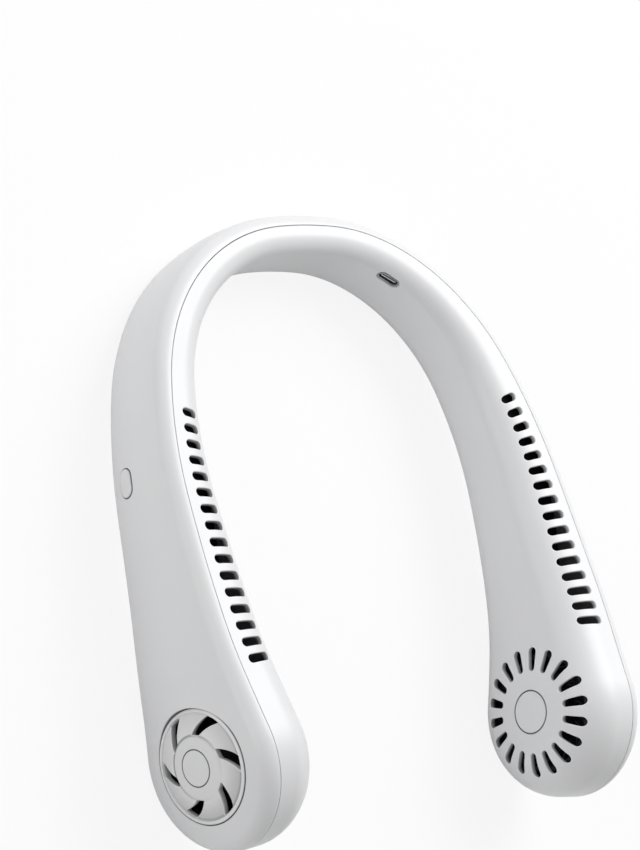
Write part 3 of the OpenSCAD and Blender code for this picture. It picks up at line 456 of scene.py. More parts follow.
@dataclass(frozen=True)
class Band:
    """Plan curve and side profile of the band, in millimetres, as worn and as it rests on the table."""

    arc_lens: tuple[float, ...] = (13.2, 92.5, 43.7, 41.0, 22.0)
    arc_rs: tuple[float, ...] = (177.0, 78.4, 166.7, 778.0, 210.0)
    neck_h: float = 28.0
    neck_lift: float = 19.4
    pod_s: float = 235.7
    pod_r: float = 30.0
    top_join: float = 8.5
    bottom_join: float = 19.0
    fan_rise: float = 1.9
    lean: float = 6.09667
    middle_y: float = -99.5988
    floor_z: float = 19.2903

    def heading(self, s: Array) -> Array:
        """Return the turn of the curve at s: the sum over the arcs of the length walked over the radius.

        Args:
            s: Distances along the band from its middle.

        Returns:
            The turn in radians at each.
        """
        a = np.abs(s)
        total, start = np.zeros_like(a), 0.0
        for length, radius in zip(self.arc_lens, self.arc_rs):
            total = total + np.clip(a - start, 0.0, length) / radius
            start += length
        return total

    def plan(self, s: Array) -> tuple[Array, Array]:
        """Walk the plan curve.

        Each arc adds r * (sin h2 - sin h1) to x and r * (cos h2 - cos h1) to y, with h1 its first
        heading and h2 the heading reached, and the straight end adds its length in the last heading.

        Args:
            s: Distances along the band, not negative.

        Returns:
            The x and y of the seam there.
        """
        x, y = np.zeros_like(s), np.zeros_like(s)
        h, start = 0.0, 0.0
        for length, radius in zip(self.arc_lens, self.arc_rs):
            turn = np.clip(s - start, 0.0, length) / radius
            x = x + radius * (np.sin(h + turn) - math.sin(h))
            y = y + radius * (np.cos(h + turn) - math.cos(h))
            h += length / radius
            start += length
        rest = np.maximum(s - start, 0.0)
        return x + rest * math.cos(h), y - rest * math.sin(h)

    def place(self, s: Array, n: Array, z: Array) -> Array:
        """Return the resting place of the point at s along the band, n outwards from the seam and z up.

        As worn it is (sign(s) * (plan_x + n * sin h), plan_y + n * cos h, z), and seated then leans it.

        Args:
            s: Distances along the band.
            n: Distances outwards from the seam.
            z: Heights.

        Returns:
            Places with a last axis of three.
        """
        a = np.abs(s)
        h = self.heading(a)
        x, y = self.plan(a)
        worn = np.stack([np.where(s < 0.0, -1.0, 1.0) * (x + n * np.sin(h)), y + n * np.cos(h),
                         z + np.zeros_like(x)], axis=-1)
        return self.seated(worn)

    def seated(self, worn: Array) -> Array:
        """Turn worn places by the lean about X and bring them onto the table and to its middle."""
        return self.turned(worn) - np.array([0.0, self.middle_y, self.floor_z])

    def turned(self, direction: Array) -> Array:
        """Turn a worn direction by the lean about X.

        Args:
            direction: Directions with a last axis of three.

        Returns:
            The turned directions.
        """
        c, s = math.cos(math.radians(self.lean)), math.sin(math.radians(self.lean))
        x, y, z = direction[..., 0], direction[..., 1], direction[..., 2]
        return np.stack([x, y * c + z * s, z * c - y * s], axis=-1)

    def outward(self, s: float) -> Array:
        """Return the resting direction that points outwards from the seam at s."""
        h = float(self.heading(np.array(abs(s))))
        return self.turned(np.array([math.copysign(1.0, s) * math.sin(h), math.cos(h), 0.0]))

    def edge_z(self, s: Array, up: float, join_angle: float, height: float) -> Array:
        """Return an edge: a power curve that runs into the pod circle, then the circle itself.

        The curve is base + reach * (s / join) ** p, with p = tan(angle) * join / |reach|, so that it
        meets the circle at the join with the circle's slope.

        Args:
            s: Distances along the band.
            up: 1 for the upper edge, -1 for the lower one.
            join_angle: Angle of the join from the pod's top or bottom, in degrees.
            height: Height of the edge over the lower one at the middle of the neck.

        Returns:
            The heights, as worn.
        """
        angle = math.radians(join_angle)
        a = np.minimum(np.abs(s), self.pod_s)
        join = self.pod_s - self.pod_r * math.sin(angle)
        reach = self.pod_r * (1.0 + up * math.cos(angle)) - self.neck_lift - height
        power = math.tan(angle) * join / abs(reach)
        curve = self.neck_lift + height + reach * np.minimum(a / join, 1.0) ** power
        side = np.sqrt(self.pod_r ** 2 - (self.pod_s - a) ** 2 * (a > join))
        return np.where(a > join, self.pod_r + up * side, curve)

    def top_z(self, s: Array) -> Array:
        """Return the upper edge."""
        return self.edge_z(s, 1.0, self.top_join, self.neck_h)

    def low_z(self, s: Array) -> Array:
        """Return the lower edge."""
        return self.edge_z(s, -1.0, self.bottom_join, 0.0)

    @property
    def fan_z(self) -> float:
        """Height of the fan axis, as worn."""
        return self.pod_r + self.fan_rise


BAND = Band()


@dataclass(frozen=True)
class Section:
    """Cross-section of one shell, from the seam round its edge and over its crowned face.

    A point of the shell's plane is (X, Y). X runs along the band and Y up it, and beyond the middle of
    a pod they go round that middle. The way w in from the seam is Wm - V, with V = |Y| or the distance
    from the pod's middle. Over a straight part L, an arc of radius r and the face, the offset from the
    seam is min(w, L) + (r - t) * sin(a) plus the crown, and the distance in from the outline is
    d = t + (r - t) * (1 - cos a) + what is left of w, with a = (w - L) / r and t the depth under the skin.
    """

    out: float
    crown_r: float
    edge_r: float
    neck_depth: float
    pod_depth: float
    edge_share: float
    crown_top: float
    wall: float = 1.8
    depth_start: float = 0.04
    depth_span: float = 0.79
    straight_rows: int = 3
    edge_rows: int = 10
    face_rows: int = 14
    first_rows_share: float = 0.25
    top_reach: float = 1.45

    def depth(self, s: Array) -> Array:
        """Return the depth of the shell at s, which eases from the neck's to the pod's."""
        u = np.clip((np.abs(s) / BAND.pod_s - self.depth_start) / self.depth_span, 0.0, 1.0)
        return self.neck_depth + (self.pod_depth - self.neck_depth) * u * u * (3.0 - 2.0 * u)

    def edge(self, s: Array) -> tuple[Array, Array]:
        """Return the straight length and the radius of the rounded edge at s.

        Args:
            s: Distances along the band, without a sign.

        Returns:
            The straight lengths and the radii.
        """
        if self.edge_share == 0.0:
            return np.zeros_like(s), np.full_like(s, self.edge_r)
        depth = self.depth(s)
        return depth * (1.0 - self.edge_share), depth * self.edge_share

    def spine(self, x: Array) -> tuple[Array, Array, Array, Array, Array]:
        """Return the sign, the distance along, the middle height, the half height and Wm at X.

        Args:
            x: X in the shell's plane.

        Returns:
            The five values, each as long as x.
        """
        along = np.minimum(np.abs(x), BAND.pod_s)
        top, low = BAND.top_z(along), BAND.low_z(along)
        half = (top - low) / 2.0
        straight, r = self.edge(along)
        wm = straight + r * (math.pi / 2.0 - 1.0) + half
        return np.where(x < 0.0, -1.0, 1.0), along, (top + low) / 2.0, half, wm

    def profile(self, w: Array, along: Array, half: Array, t: float) -> tuple[Array, Array]:
        """Return the distance in from the outline and the offset from the seam at w.

        Args:
            w: Length along the section from the seam.
            along: Distances along the band.
            half: Half heights.
            t: Depth under the skin.

        Returns:
            Both distances, each as long as w.
        """
        straight, r = self.edge(along)
        a = np.clip((w - straight) / r, 0.0, math.pi / 2.0)
        over = np.maximum(w - straight - r * math.pi / 2.0, 0.0)
        d = t + (r - t) * (1.0 - np.cos(a)) + over
        crown = ((half - t) ** 2 - (half - d) ** 2) / (2.0 * self.crown_r)
        return d, np.minimum(w, straight) + (r - t) * np.sin(a) + crown

    def at(self, xy: Array, t: float) -> Array:
        """Return the resting place of each point of the shell's plane, at depth t under its skin.

        Args:
            xy: Points of the plane with a last axis of two.
            t: Depth under the skin.

        Returns:
            Places with a last axis of three.
        """
        sign, along, middle, half, wm = self.spine(xy[..., 0])
        beyond = np.maximum(np.abs(xy[..., 0]) - BAND.pod_s, 0.0)
        v = np.hypot(beyond, xy[..., 1])
        d, n = self.profile(wm - v, along, half, t)
        ratio = np.where(v > 1e-6, (half - d) / np.maximum(v, 1e-6), 1.0)
        return BAND.place(sign * (along + beyond * ratio), self.out * n, middle + xy[..., 1] * ratio)

    def on_face(self, s: Array, z: Array, t: float) -> Array:
        """Return the point of the plane whose place, at depth t, is at s along the band and z up.

        With q the distance from the spine, d = half - q gives a = acos(1 - (d - t) / (r - t)) on the
        rounded edge, w = L + r * a there and L + r * 90 degrees + d - r on the face, and V = Wm - w.

        Args:
            s: Distances along the band.
            z: Heights.
            t: Depth under the skin.

        Returns:
            Points of the plane with a last axis of two.
        """
        sign, along, middle, half, wm = self.spine(s)
        beyond = np.maximum(np.abs(s) - BAND.pod_s, 0.0)
        q = np.hypot(beyond, z - middle)
        d = half - q
        straight, r = self.edge(along)
        a = np.arccos(np.clip(1.0 - (d - t) / (r - t), 0.0, 1.0))
        w = np.where(d >= r, straight + r * math.pi / 2.0 + d - r, straight + r * a)
        ratio = np.where(q > 1e-6, (wm - w) / np.maximum(q, 1e-6), 1.0)
        return np.stack([sign * (along + beyond * ratio), (z - middle) * ratio], axis=-1)

    def on_top(self, s: Array, n: Array, t: float) -> Array:
        """Return the point of the plane on the upper edge at s whose offset from the seam is n.

        The offset grows with w up to top_reach * r past the straight part, so w is found by halving
        that span again and again.

        Args:
            s: Distances along the band.
            n: Offsets from the seam.
            t: Depth under the skin.

        Returns:
            Points of the plane with a last axis of two.
        """
        _, along, _, half, wm = self.spine(s)
        straight, r = self.edge(along)
        low, high = np.zeros_like(s), straight + r * self.top_reach
        for _ in range(HALVINGS):
            w = (low + high) / 2.0
            short = self.profile(w, along, half, t)[1] < n
            low, high = np.where(short, w, low), np.where(short, high, w)
        return np.stack([s, wm - (low + high) / 2.0], axis=-1)

    def outline(self, offset: float, t: float, spacing: float) -> Array:
        """Return the closed outline of the plane at the given offset from the seam.

        Args:
            offset: Offset from the seam plane, outwards on this shell.
            t: Depth under the skin.
            spacing: Distance between its points.

        Returns:
            Points from the right pod over the top to the left pod and back underneath.
        """

        def inset(x: Array) -> Array:
            """Return V at the offset: w is the offset on the straight part, or r * asin(n / (r - t)).

            Args:
                x: X in the shell's plane.

            Returns:
                V at each.
            """
            _, along, _, _, wm = self.spine(x)
            straight, r = self.edge(along)
            return wm - np.where(straight > 0.0, offset, r * np.arcsin(offset / (r - t)))

        count = int(BAND.pod_s / spacing)
        x = np.linspace(-BAND.pod_s, BAND.pod_s, 2 * count + 1)
        v = inset(x)
        left = end_arc(float(v[0]), int(math.pi * (BAND.pod_r + self.pod_depth) / spacing))
        top, low = np.stack([x, v], axis=1), np.stack([x[::-1], -v[::-1]], axis=1)
        return np.concatenate([top, left, low, -left])

    def grid(self, spacing: float, first: float) -> Array:
        """Return points inside the outline: rows that follow the edge, then an even face.

        Args:
            spacing: Distance between stations along the band and between rows on the face.
            first: Way in from the seam to the first row.

        Returns:
            Points of the plane, one row each.
        """
        count = int(BAND.pod_s / spacing)
        x = np.linspace(-BAND.pod_s, BAND.pod_s, 2 * count + 1)
        _, along, _, _, wm = self.spine(x)
        straight, r = self.edge(along)
        rows: list[Array] = []
        for k in range(self.straight_rows):
            if self.edge_share:
                rows.append(first + (straight - first) * (k + 1) / self.straight_rows)
            else:
                rows.append(first + self.first_rows_share * k * r / self.straight_rows)
        for k in range(1, self.edge_rows + 1):
            rows.append(straight + r * math.radians(90.0 / self.edge_rows) * k)
        rim = wm - straight - r * math.pi / 2.0
        vs = [wm - w for w in rows] + [rim * (1.0 - k / self.face_rows) for k in range(1, self.face_rows)]
        points = [np.stack([x, v], axis=1) for v in vs] + [np.stack([x, -v], axis=1) for v in vs]
        points.append(np.stack([x, np.zeros_like(x)], axis=1))
        for v in vs:
            arc = end_arc(float(v[-1]), max(6, int(math.pi * float(v[-1]) / spacing)))
            points += [arc, -arc]
        return np.unique(np.round(np.concatenate(points), 5), axis=0)


OUTER = Section(out=1.0, crown_r=62.0, edge_r=4.2, neck_depth=4.2, pod_depth=4.2, edge_share=0.0,
                crown_top=11.4581)
INNER = Section(out=-1.0, crown_r=94.0, edge_r=0.0, neck_depth=8.4, pod_depth=19.2, edge_share=0.62,
                crown_top=23.9872)


@dataclass(frozen=True)
class Hole:
    """A hole or pocket in a shell: its outline for a given growth, and how it maps to the shell's plane.

    A hole is wider by the flare at the lining, and a pocket ends at a flat floor. The rounded lip carries a
    painted highlight and painted shade.
    """

    outline: Callable[[float], Array]
    to_plane: Callable[[Array, float], Array]
    inward: Array
    lip: float
    pocket: float = 0.0
    flare: float = 0.0
    # Painted highlight on the rounded lip, and painted shade at its deep end and on a pocket's floor.
    painted_highlight: float = 0.0
    dark: float = 0.0


@dataclass(frozen=True)
class FanFace:
    """A shell's face at a fan, in the fan's plane: x up and y to the tip, both from the fan's axis."""

    section: Section
    side: Side

    def place(self, xy: Array, n: Array) -> Array:
        """Return the resting place of (x, y) at n outwards from the seam."""
        return BAND.place(self.side.value * (BAND.pod_s + xy[..., 1]), n, BAND.fan_z + xy[..., 0])

    def crown(self, xy: Array) -> Array:
        """Return the face's offset out * (top - ((x + rise) ** 2 + y ** 2) / (2 * R)) from the seam."""
        x, y = xy[..., 0] + BAND.fan_rise, xy[..., 1]
        return self.section.out * (self.section.crown_top - (x * x + y * y) / (2.0 * self.section.crown_r))

    def skin(self, xy: Array) -> Array:
        """Return places on the crown."""
        return self.place(xy, self.crown(xy))

    def to_plane(self, xy: Array, t: float) -> Array:
        """Return the shell's plane's points of (x, y), at depth t under the skin."""
        return self.section.on_face(self.side.value * (BAND.pod_s + xy[:, 1]), BAND.fan_z + xy[:, 0], t)

    def inward(self) -> Array:
        """Return the direction of the axis into the shell."""
        return -self.section.out * BAND.outward(self.side.value * BAND.pod_s)


@dataclass
class Shell:
    """One of the two shells: a closed sheet with rounded lips at its seam and at every hole."""

    name: str
    section: Section
    replaces: tuple[str, ...]
    slot: str = "shell"
    spacing: float = 1.5
    seam_gap: float = 0.25
    seam_lip: float = 0.16
    # Painted shade on the lining, so the inside of the shell is dark where it shows through the openings.
    inside: float = -0.85
    first_row: float = 0.8
    margin: float = 0.3
    holes: list[Hole] = field(default_factory=list)

    def skin(self, xy: Array) -> Array:
        """Return places on the skin."""
        return self.section.at(xy, 0.0)

    def lining(self, xy: Array) -> Array:
        """Return places on the inside of the wall."""
        return self.section.at(xy, self.section.wall)

    def cut(self, solid: Solid, hole: Hole, outer: list[Ring], inner: list[Ring]) -> None:
        """Cut a hole or a pocket with its rounded lip.

        Args:
            solid: The shell so far.
            hole: What is cut.
            outer: Rings of the skin, which get one more.
            inner: Rings of the lining, which get one more where the hole goes through.
        """
        xy = hole.to_plane(hole.outline(hole.lip), 0.0)
        outer.append(solid.ring(self.skin(xy), xy))
        sharp = self.skin(hole.to_plane(hole.outline(0.0), 0.0))
        end, wall = solid.lip(outer[-1], sharp, hole.inward, hole.lip,
                              normals_of(self.skin, xy, -self.section.out), hole.painted_highlight, hole.dark)
        if hole.pocket > 0.0:
            solid.pocket(end, wall, sharp, hole.inward, hole.pocket, -hole.dark)
            return
        xy = hole.to_plane(hole.outline(hole.flare), self.section.wall)
        # The lining's ring round the hole carries the lining's painted shade, which darkens the hole's wall
        # inwards.
        inner.append(solid.ring(self.lining(xy), xy, self.inside))
        solid.strip(end, inner[-1], wall, wall)

    def build(self) -> bpy.types.Object:
        """Build the skin, the wall inside it, the seam face and the walls of the holes.

        Returns:
            The finished object.
        """
        solid, sec = Solid(), self.section
        start = sec.outline(self.seam_gap / 2.0 + self.seam_lip, 0.0, self.spacing)
        edge = sec.outline(self.seam_gap / 2.0, 0.0, self.spacing)
        under = sec.outline(self.seam_gap / 2.0, sec.wall, self.spacing)
        outer = [solid.ring(self.skin(start), start)]
        # Painted shade on the lining from the seam inwards.
        inner = [solid.ring(self.lining(under), under, self.inside)]
        down = -normals_of(self.skin, edge, -sec.out)
        end, seam = solid.lip(outer[0], self.skin(edge), down, self.seam_lip,
                              normals_of(self.skin, start, -sec.out))
        solid.strip(end, inner[0], seam, seam)
        for hole in self.holes:
            self.cut(solid, hole, outer, inner)
        points = sec.grid(self.spacing, self.first_row)
        solid.patch(outer, clear_of(points, outer[1:], self.margin), self.skin, -sec.out)
        # The lining is filled with painted shade all over.
        solid.patch(inner, clear_of(points, inner[1:], self.margin), self.lining, sec.out, self.inside)
        return solid.finish(self.name, self.replaces, "body", self.slot)


@dataclass(frozen=True)
class OutletRow:
    """The row of air outlets in the upper edge of each arm."""

    count: int = 16
    first_s: float = 118.0
    pitch: float = 5.98
    width: float = 3.1
    inset: float = 4.1
    first_len: float = 6.5
    last_len: float = 10.4
    grow_share: float = 0.75
    lip: float = 0.4
    # Painted highlight on the outlets' rounded lips.
    painted_highlight: float = 0.8

    def hole(self, side: Side, i: int) -> Hole:
        """Return outlet i: a pill along the depth, cut straight down through the upper edge.

        Args:
            side: Side of the band.
            i: Number of the outlet from the neck.

        Returns:
            The hole.
        """
        s0 = self.first_s + i * self.pitch
        grown = min(1.0, i / (self.count - 1) / self.grow_share)
        length = self.first_len + (self.last_len - self.first_len) * grown
        near, far = self.inset + self.width / 2.0, self.inset + length - self.width / 2.0

        def outline(grow: float) -> Array:
            """Return the pill in (s, depth)."""
            r = self.width / 2.0 + grow
            return capsule((s0, near), r, (s0, far), r, SLOT_STEPS)

        def to_plane(uv: Array, t: float) -> Array:
            """Return the plane's points of (s, depth)."""
            xy = INNER.on_top(uv[:, 0], uv[:, 1], t)
            return xy * np.array([float(side.value), 1.0])

        return Hole(outline, to_plane, BAND.turned(np.array([0.0, 0.0, -1.0])), self.lip, painted_highlight=self.painted_highlight)


@dataclass(frozen=True)
class InletRing:
    """The ring of radial inlet slots in the inner face of a pod, and the pocket of its plain disc."""

    count: int = 18
    turn: float = 4.0
    r1: float = 14.8
    r2: float = 23.3
    w1: float = 2.5
    w2: float = 3.4
    lip: float = 0.42
    flare: float = 0.5
    pocket_r: float = 7.85
    pocket_lip: float = 0.3
    pocket_depth: float = 1.0
    # Painted highlight on the slots' lips, and painted shade in the disc's pocket.
    painted_highlight: float = 0.8
    pocket_painted_shade: float = 1.0

    def slot(self, side: Side, i: int) -> Hole:
        """Return slot i: a capsule that widens outwards, cut along the fan's axis.

        Args:
            side: Side of the band.
            i: Number of the slot.

        Returns:
            The hole.
        """
        a = math.radians(self.turn) + 2.0 * math.pi * i / self.count
        c = np.array([math.cos(a), math.sin(a)])
        p, q = c * (self.r1 + self.w1 / 2.0), c * (self.r2 - self.w2 / 2.0)

        def outline(grow: float) -> Array:
            """Return the capsule in (x, y)."""
            return capsule(tuple(p), self.w1 / 2.0 + grow, tuple(q), self.w2 / 2.0 + grow, SLOT_STEPS)

        face = FanFace(INNER, side)
        return Hole(outline, face.to_plane, face.inward(), self.lip, flare=self.flare, painted_highlight=self.painted_highlight)

    def pocket(self, side: Side) -> Hole:
        """Return the round pocket of the plain disc.

        Args:
            side: Side of the band.

        Returns:
            The hole.
        """

        def outline(grow: float) -> Array:
            """Return the circle in (x, y)."""
            return circle(self.pocket_r + grow, DISC_POINTS)

        face = FanFace(INNER, side)
        return Hole(outline, face.to_plane, face.inward(), self.pocket_lip, self.pocket_depth,
                    dark=self.pocket_painted_shade)


@dataclass(frozen=True)
class PillHole:
    """A pill-shaped hole that is cut square into a shell, long along the band."""

    section: Section
    side: Side
    s: float
    z: float
    length: float
    width: float
    bend_r: float
    n: float
    lip: float = 0.15
    # Painted shade towards the deep end of the rounded lip.
    dark: float = 0.0

    def outline(self, grow: float) -> Array:
        """Return the pill in (distance along the tangent, height over its middle)."""
        r, half = self.width / 2.0 + grow, (self.length - self.width) / 2.0
        return capsule((-half, 0.0), r, (half, 0.0), r, PILL_STEPS)

    def to_plane(self, uv: Array, t: float) -> Array:
        """Return the plane's points, with s = s0 + x / (1 + n / bend_r) for the bend of the band."""
        s = self.side.value * (self.s + uv[:, 0] / (1.0 + self.n / self.bend_r))
        return self.section.on_face(s, self.z + uv[:, 1], t)

    def skin(self, uv: Array) -> Array:
        """Return places on the shell's skin."""
        return self.section.at(self.to_plane(uv, 0.0), 0.0)

    def inward(self) -> Array:
        """Return the direction of the cut."""
        return -self.section.out * BAND.outward(self.side.value * self.s)

    def hole(self) -> Hole:
        """Return the hole for the shell."""
        return Hole(self.outline, self.to_plane, self.inward(), self.lip, dark=self.dark)


@dataclass
class Plug:
    """A flush piece let into an opening: its face, a rounded edge, a straight side and a flat back."""

    name: str
    replaces: str
    slot: str
    body: str
    face: Surface
    outline: Callable[[float], Array]
    inward: Array
    lip: float
    thickness: float
    spacing: float = 0.6
    # Painted shade on the rounded edge and the back, in the gap round the piece.
    dark: float = 0.9
    margin: float = 0.15

    def build(self) -> bpy.types.Object:
        """Build the piece.

        Returns:
            The finished object.
        """
        solid = Solid()
        start, bare = self.outline(-self.lip), self.outline(0.0)
        middle = start.mean(axis=0)[None, :]
        facing = np.sign((normals_of(self.face, middle, 1.0) @ -self.inward)[0])
        ring, edge = solid.ring(self.face(start), start), self.face(bare)
        # The rounded edge and the back carry painted shade.
        end, wall = solid.lip(ring, edge, self.inward, self.lip, normals_of(self.face, start, facing),
                              dark=self.dark)
        level = float((self.face(middle) @ self.inward)[0]) + self.thickness
        back = solid.ring(edge + (level - edge @ self.inward)[:, None] * self.inward, shade=-self.dark)
        solid.strip(end, back, wall, wall)
        solid.fan(back, self.inward)
        low, high = start.min(axis=0), start.max(axis=0)
        x, y = np.meshgrid(np.arange(low[0], high[0], self.spacing),
                           np.arange(low[1], high[1], self.spacing))
        points = np.stack([x.ravel(), y.ravel()], axis=1)
        inside = near_ring(points, start, 0.0) & (edge_distance(points, start) >= self.margin)
        solid.patch([ring], points[inside], self.face, facing)
        return solid.finish(self.name, (self.replaces,), self.body, self.slot)


@dataclass(frozen=True)
class Line:
    """A soft line of painted shade or painted highlight round an axis: its distance from an edge, half width
    and strength.
    """

    place: float
    width: float
    strength: float

    def at(self, d: Array) -> Array:
        """Return strength * exp(-((d - place) / width) ** 2) at the distance d from the edge."""
        return self.strength * np.exp(-((d - self.place) / self.width) ** 2)


@dataclass(frozen=True)
class IntakeGrille:
    """The round grille of a pod: rim ring, dished vanes with swirl slots between them, and raised hub.

    Its plane is the fan's, x up and y to the tip, with r and a the distance and angle from the axis.
    The hub's step fades round it with the share f = (1 + cos(a - hub_turn)) / 2.
    """

    side: Side
    r: float = 19.4
    rim: float = 1.3
    hub_r: float = 10.4
    hub_turn: float = 232.0
    step_even: float = 0.06
    step: float = 0.2
    step_power: float = 1.3
    step_span: tuple[float, float] = (-0.35, 0.15)
    dish: float = 0.5
    dish_power: float = 1.5
    rim_depth: float = 0.1
    level_span: tuple[float, float] = (2.0, 0.3)
    rim_step: float = 0.12
    vanes: int = 6
    start: float = 47.0
    sweep: float = 26.0
    gap1: float = 3.3
    gap2: float = 5.4
    slot_ends: tuple[float, float] = (0.5, 0.36)
    slot_points: int = 25
    squareness: float = 14.0
    cap_r: float = 6.1
    cap_depth: float = 1.0
    cap_lip: float = 0.2
    cap_t: float = 0.9
    gap: float = 0.25
    thickness: float = 2.6
    lip: float = 0.2
    slot_lip: float = 0.3
    flare: float = 0.4
    opening_lip: float = 0.3
    # Painted shade and painted highlights: lines along the hub and the rim, shade over the vanes, shade in
    # the groove, the slots and the cap's pocket, and a painted highlight on the slots' lips.
    hub_painted_shade: Line = Line(0.45, 0.42, 0.95)
    hub_painted_highlight: Line = Line(1.1, 0.25, 0.5)
    rim_painted_shade: Line = Line(-0.5, 0.35, 0.4)
    rim_painted_highlight: float = 0.5
    vane_side_painted_shade: float = 0.3
    vane_even_painted_shade: float = 0.05
    groove_painted_shade: float = 0.8
    slot_painted_shade: float = 0.7
    pocket_painted_shade: float = 0.9
    slot_painted_highlight: float = 0.4
    row_spacing: float = 0.75
    margin: float = 0.12
    rows: tuple[float, ...] = (
        6.9, 7.6, 8.4, 9.2, 9.75, 9.95, 10.1, 10.25, 10.4, 10.55, 10.7, 10.9, 11.2, 11.7, 12.4, 13.2, 14.0,
        14.8, 15.6, 16.4, 17.0, 17.3, 17.6, 17.85, 17.97, 18.04, 18.1, 18.16, 18.23, 18.4, 18.75)

    @property
    def face(self) -> FanFace:
        """The outer shell's face round the grille."""
        return FanFace(OUTER, self.side)

    @property
    def inner_rim(self) -> float:
        """Radius of the inside of the rim ring."""
        return self.r - self.rim

    def polar(self, xy: Array) -> tuple[Array, Array]:
        """Return r and the share f."""
        r, a = np.hypot(xy[..., 0], xy[..., 1]), np.arctan2(xy[..., 1], xy[..., 0])
        return r, 0.5 + 0.5 * np.cos(a - math.radians(self.hub_turn))

    def dish_at(self, r: Array) -> Array:
        """Return dish * (share of the way from the hub to the rim) ** power."""
        share = np.clip((r - self.hub_r) / (self.inner_rim - self.hub_r), 0.0, 1.0)
        return self.dish * share ** self.dish_power

    def drop(self, xy: Array) -> Array:
        """Return how far the vanes lie under the crown.

        It is even + step * f ** power past the hub, plus the dish, an even depth at the rim, and nothing
        on the rim.

        Args:
            xy: Points of the grille's face.

        Returns:
            One depth for each point.
        """
        r, fade = self.polar(xy)
        step = (self.step_even + self.step * fade ** self.step_power) * ramp(
            r, self.hub_r + self.step_span[0], self.hub_r + self.step_span[1])
        near = ramp(r, self.hub_r + self.level_span[0], self.inner_rim - self.level_span[1])
        low = (step + self.dish_at(r)) * (1.0 - near) + (self.dish + self.rim_depth) * near
        return low * (1.0 - ramp(r, self.inner_rim - self.rim_step, self.inner_rim + self.rim_step))

    def shade(self, xy: Array) -> Array:
        """Return the painted shade and painted highlights of the front.

        By f, painted shade lies just past the hub and a painted highlight beyond that, and by 1 - f painted
        shade darkens the vanes towards the rim and along it, so one side is shaded more than the other. The
        vanes also darken a little towards the rim all round, and the rim's inner edge gets a painted
        highlight.

        Args:
            xy: Points of the grille's face.

        Returns:
            One shade for each point.
        """
        r, fade = self.polar(xy)
        hub = fade * (self.hub_painted_highlight.at(r - self.hub_r) - self.hub_painted_shade.at(r - self.hub_r))
        vane = ramp(r, self.hub_r + 1.0, self.inner_rim) * (r < self.inner_rim)
        dark = (1.0 - fade) * (self.rim_painted_shade.at(r - self.inner_rim) + self.vane_side_painted_shade * vane)
        light = self.rim_painted_highlight * ramp(r, self.inner_rim + 0.05, self.inner_rim + 0.2)
        return hub + light - dark - self.vane_even_painted_shade * vane

    def front(self, xy: Array) -> Array:
        """Return places on the front."""
        return self.face.place(xy, self.face.crown(xy) - self.drop(xy))

    def back(self, xy: Array) -> Array:
        """Return places on the back: the thickness and the dish below the crown."""
        r = np.hypot(xy[..., 0], xy[..., 1])
        return self.face.place(xy, self.face.crown(xy) - self.thickness - self.dish_at(r))

    def swirl(self, i: int, grow: float) -> Array:
        """Return the outline of slot i.

        Its middle runs from the hub to the rim by the share f, turned from the start by sweep times the
        share of the way, and its half width is gap(f) / 2 * (1 - |2 f - 1| ** q) ** (1 / q), with q the
        squareness. It is grown along its normals.

        Args:
            i: Number of the slot.
            grow: Growth of the outline.

        Returns:
            Points of the closed outline, one row each.
        """
        r1, r2 = self.hub_r + self.slot_ends[0], self.inner_rim - self.slot_ends[1]
        f = 0.5 - 0.5 * np.cos(np.linspace(0.0, math.pi, self.slot_points))
        r = r1 + (r2 - r1) * f
        turn = math.radians(self.sweep) * (r - self.hub_r) / (self.inner_rim - self.hub_r)
        middle = math.radians(self.start + i * 360.0 / self.vanes) + turn
        square = (1.0 - np.abs(2.0 * f - 1.0) ** self.squareness) ** (1.0 / self.squareness)
        half = (self.gap1 + (self.gap2 - self.gap1) * f) / 2.0 * square
        there, back = middle + half / r, (middle - half / r)[::-1]
        a = np.concatenate([there, back[1:-1]])
        rr = np.concatenate([r, r[::-1][1:-1]])
        ring = np.stack([rr * np.cos(a), rr * np.sin(a)], axis=1)
        along = unit(np.roll(ring, -1, axis=0) - np.roll(ring, 1, axis=0))
        out = np.stack([along[:, 1], -along[:, 0]], axis=1)
        out *= np.sign((out * (ring - ring.mean(axis=0))).sum())
        return ring + grow * out

    def build(self) -> bpy.types.Object:
        """Build the front and back, the slots' walls, the cap's pocket and the rim's side.

        Returns:
            The finished object.
        """
        solid, face = Solid(), self.face
        inward = face.inward()
        sign = -1.0 if (normals_of(self.front, np.zeros((1, 2)), 1.0) @ inward)[0] > 0.0 else 1.0
        start, bare = circle(self.r - self.lip, RIM_POINTS), circle(self.r, RIM_POINTS)
        rim = solid.ring(self.front(start), start)
        # The groove round the rim gets painted shade towards its bottom.
        end, wall = solid.lip(rim, self.front(bare), inward, self.lip, normals_of(self.front, start, sign),
                              dark=self.groove_painted_shade)
        under = solid.ring(self.back(bare), bare, -self.groove_painted_shade)
        solid.strip(end, under, wall, wall)
        fronts, backs = [rim], [under]
        for i in range(self.vanes):
            grown, bare = self.swirl(i, self.slot_lip), self.swirl(i, 0.0)
            fronts.append(solid.ring(self.front(grown), grown, self.shade(grown)))
            # Painted highlight on each slot's rounded lip.
            end, wall = solid.lip(fronts[-1], self.front(bare), inward, self.slot_lip,
                                  normals_of(self.front, grown, sign), self.slot_painted_highlight)
            flared = self.swirl(i, self.flare)
            # Painted shade darkens each slot's wall towards the back.
            backs.append(solid.ring(self.back(flared), flared, -self.slot_painted_shade))
            solid.strip(end, backs[-1], wall, wall)
        pocket_r = self.cap_r + self.gap
        grown, edge = circle(pocket_r + self.cap_lip, CAP_POINTS), self.front(circle(pocket_r, CAP_POINTS))
        fronts.append(solid.ring(self.front(grown), grown))
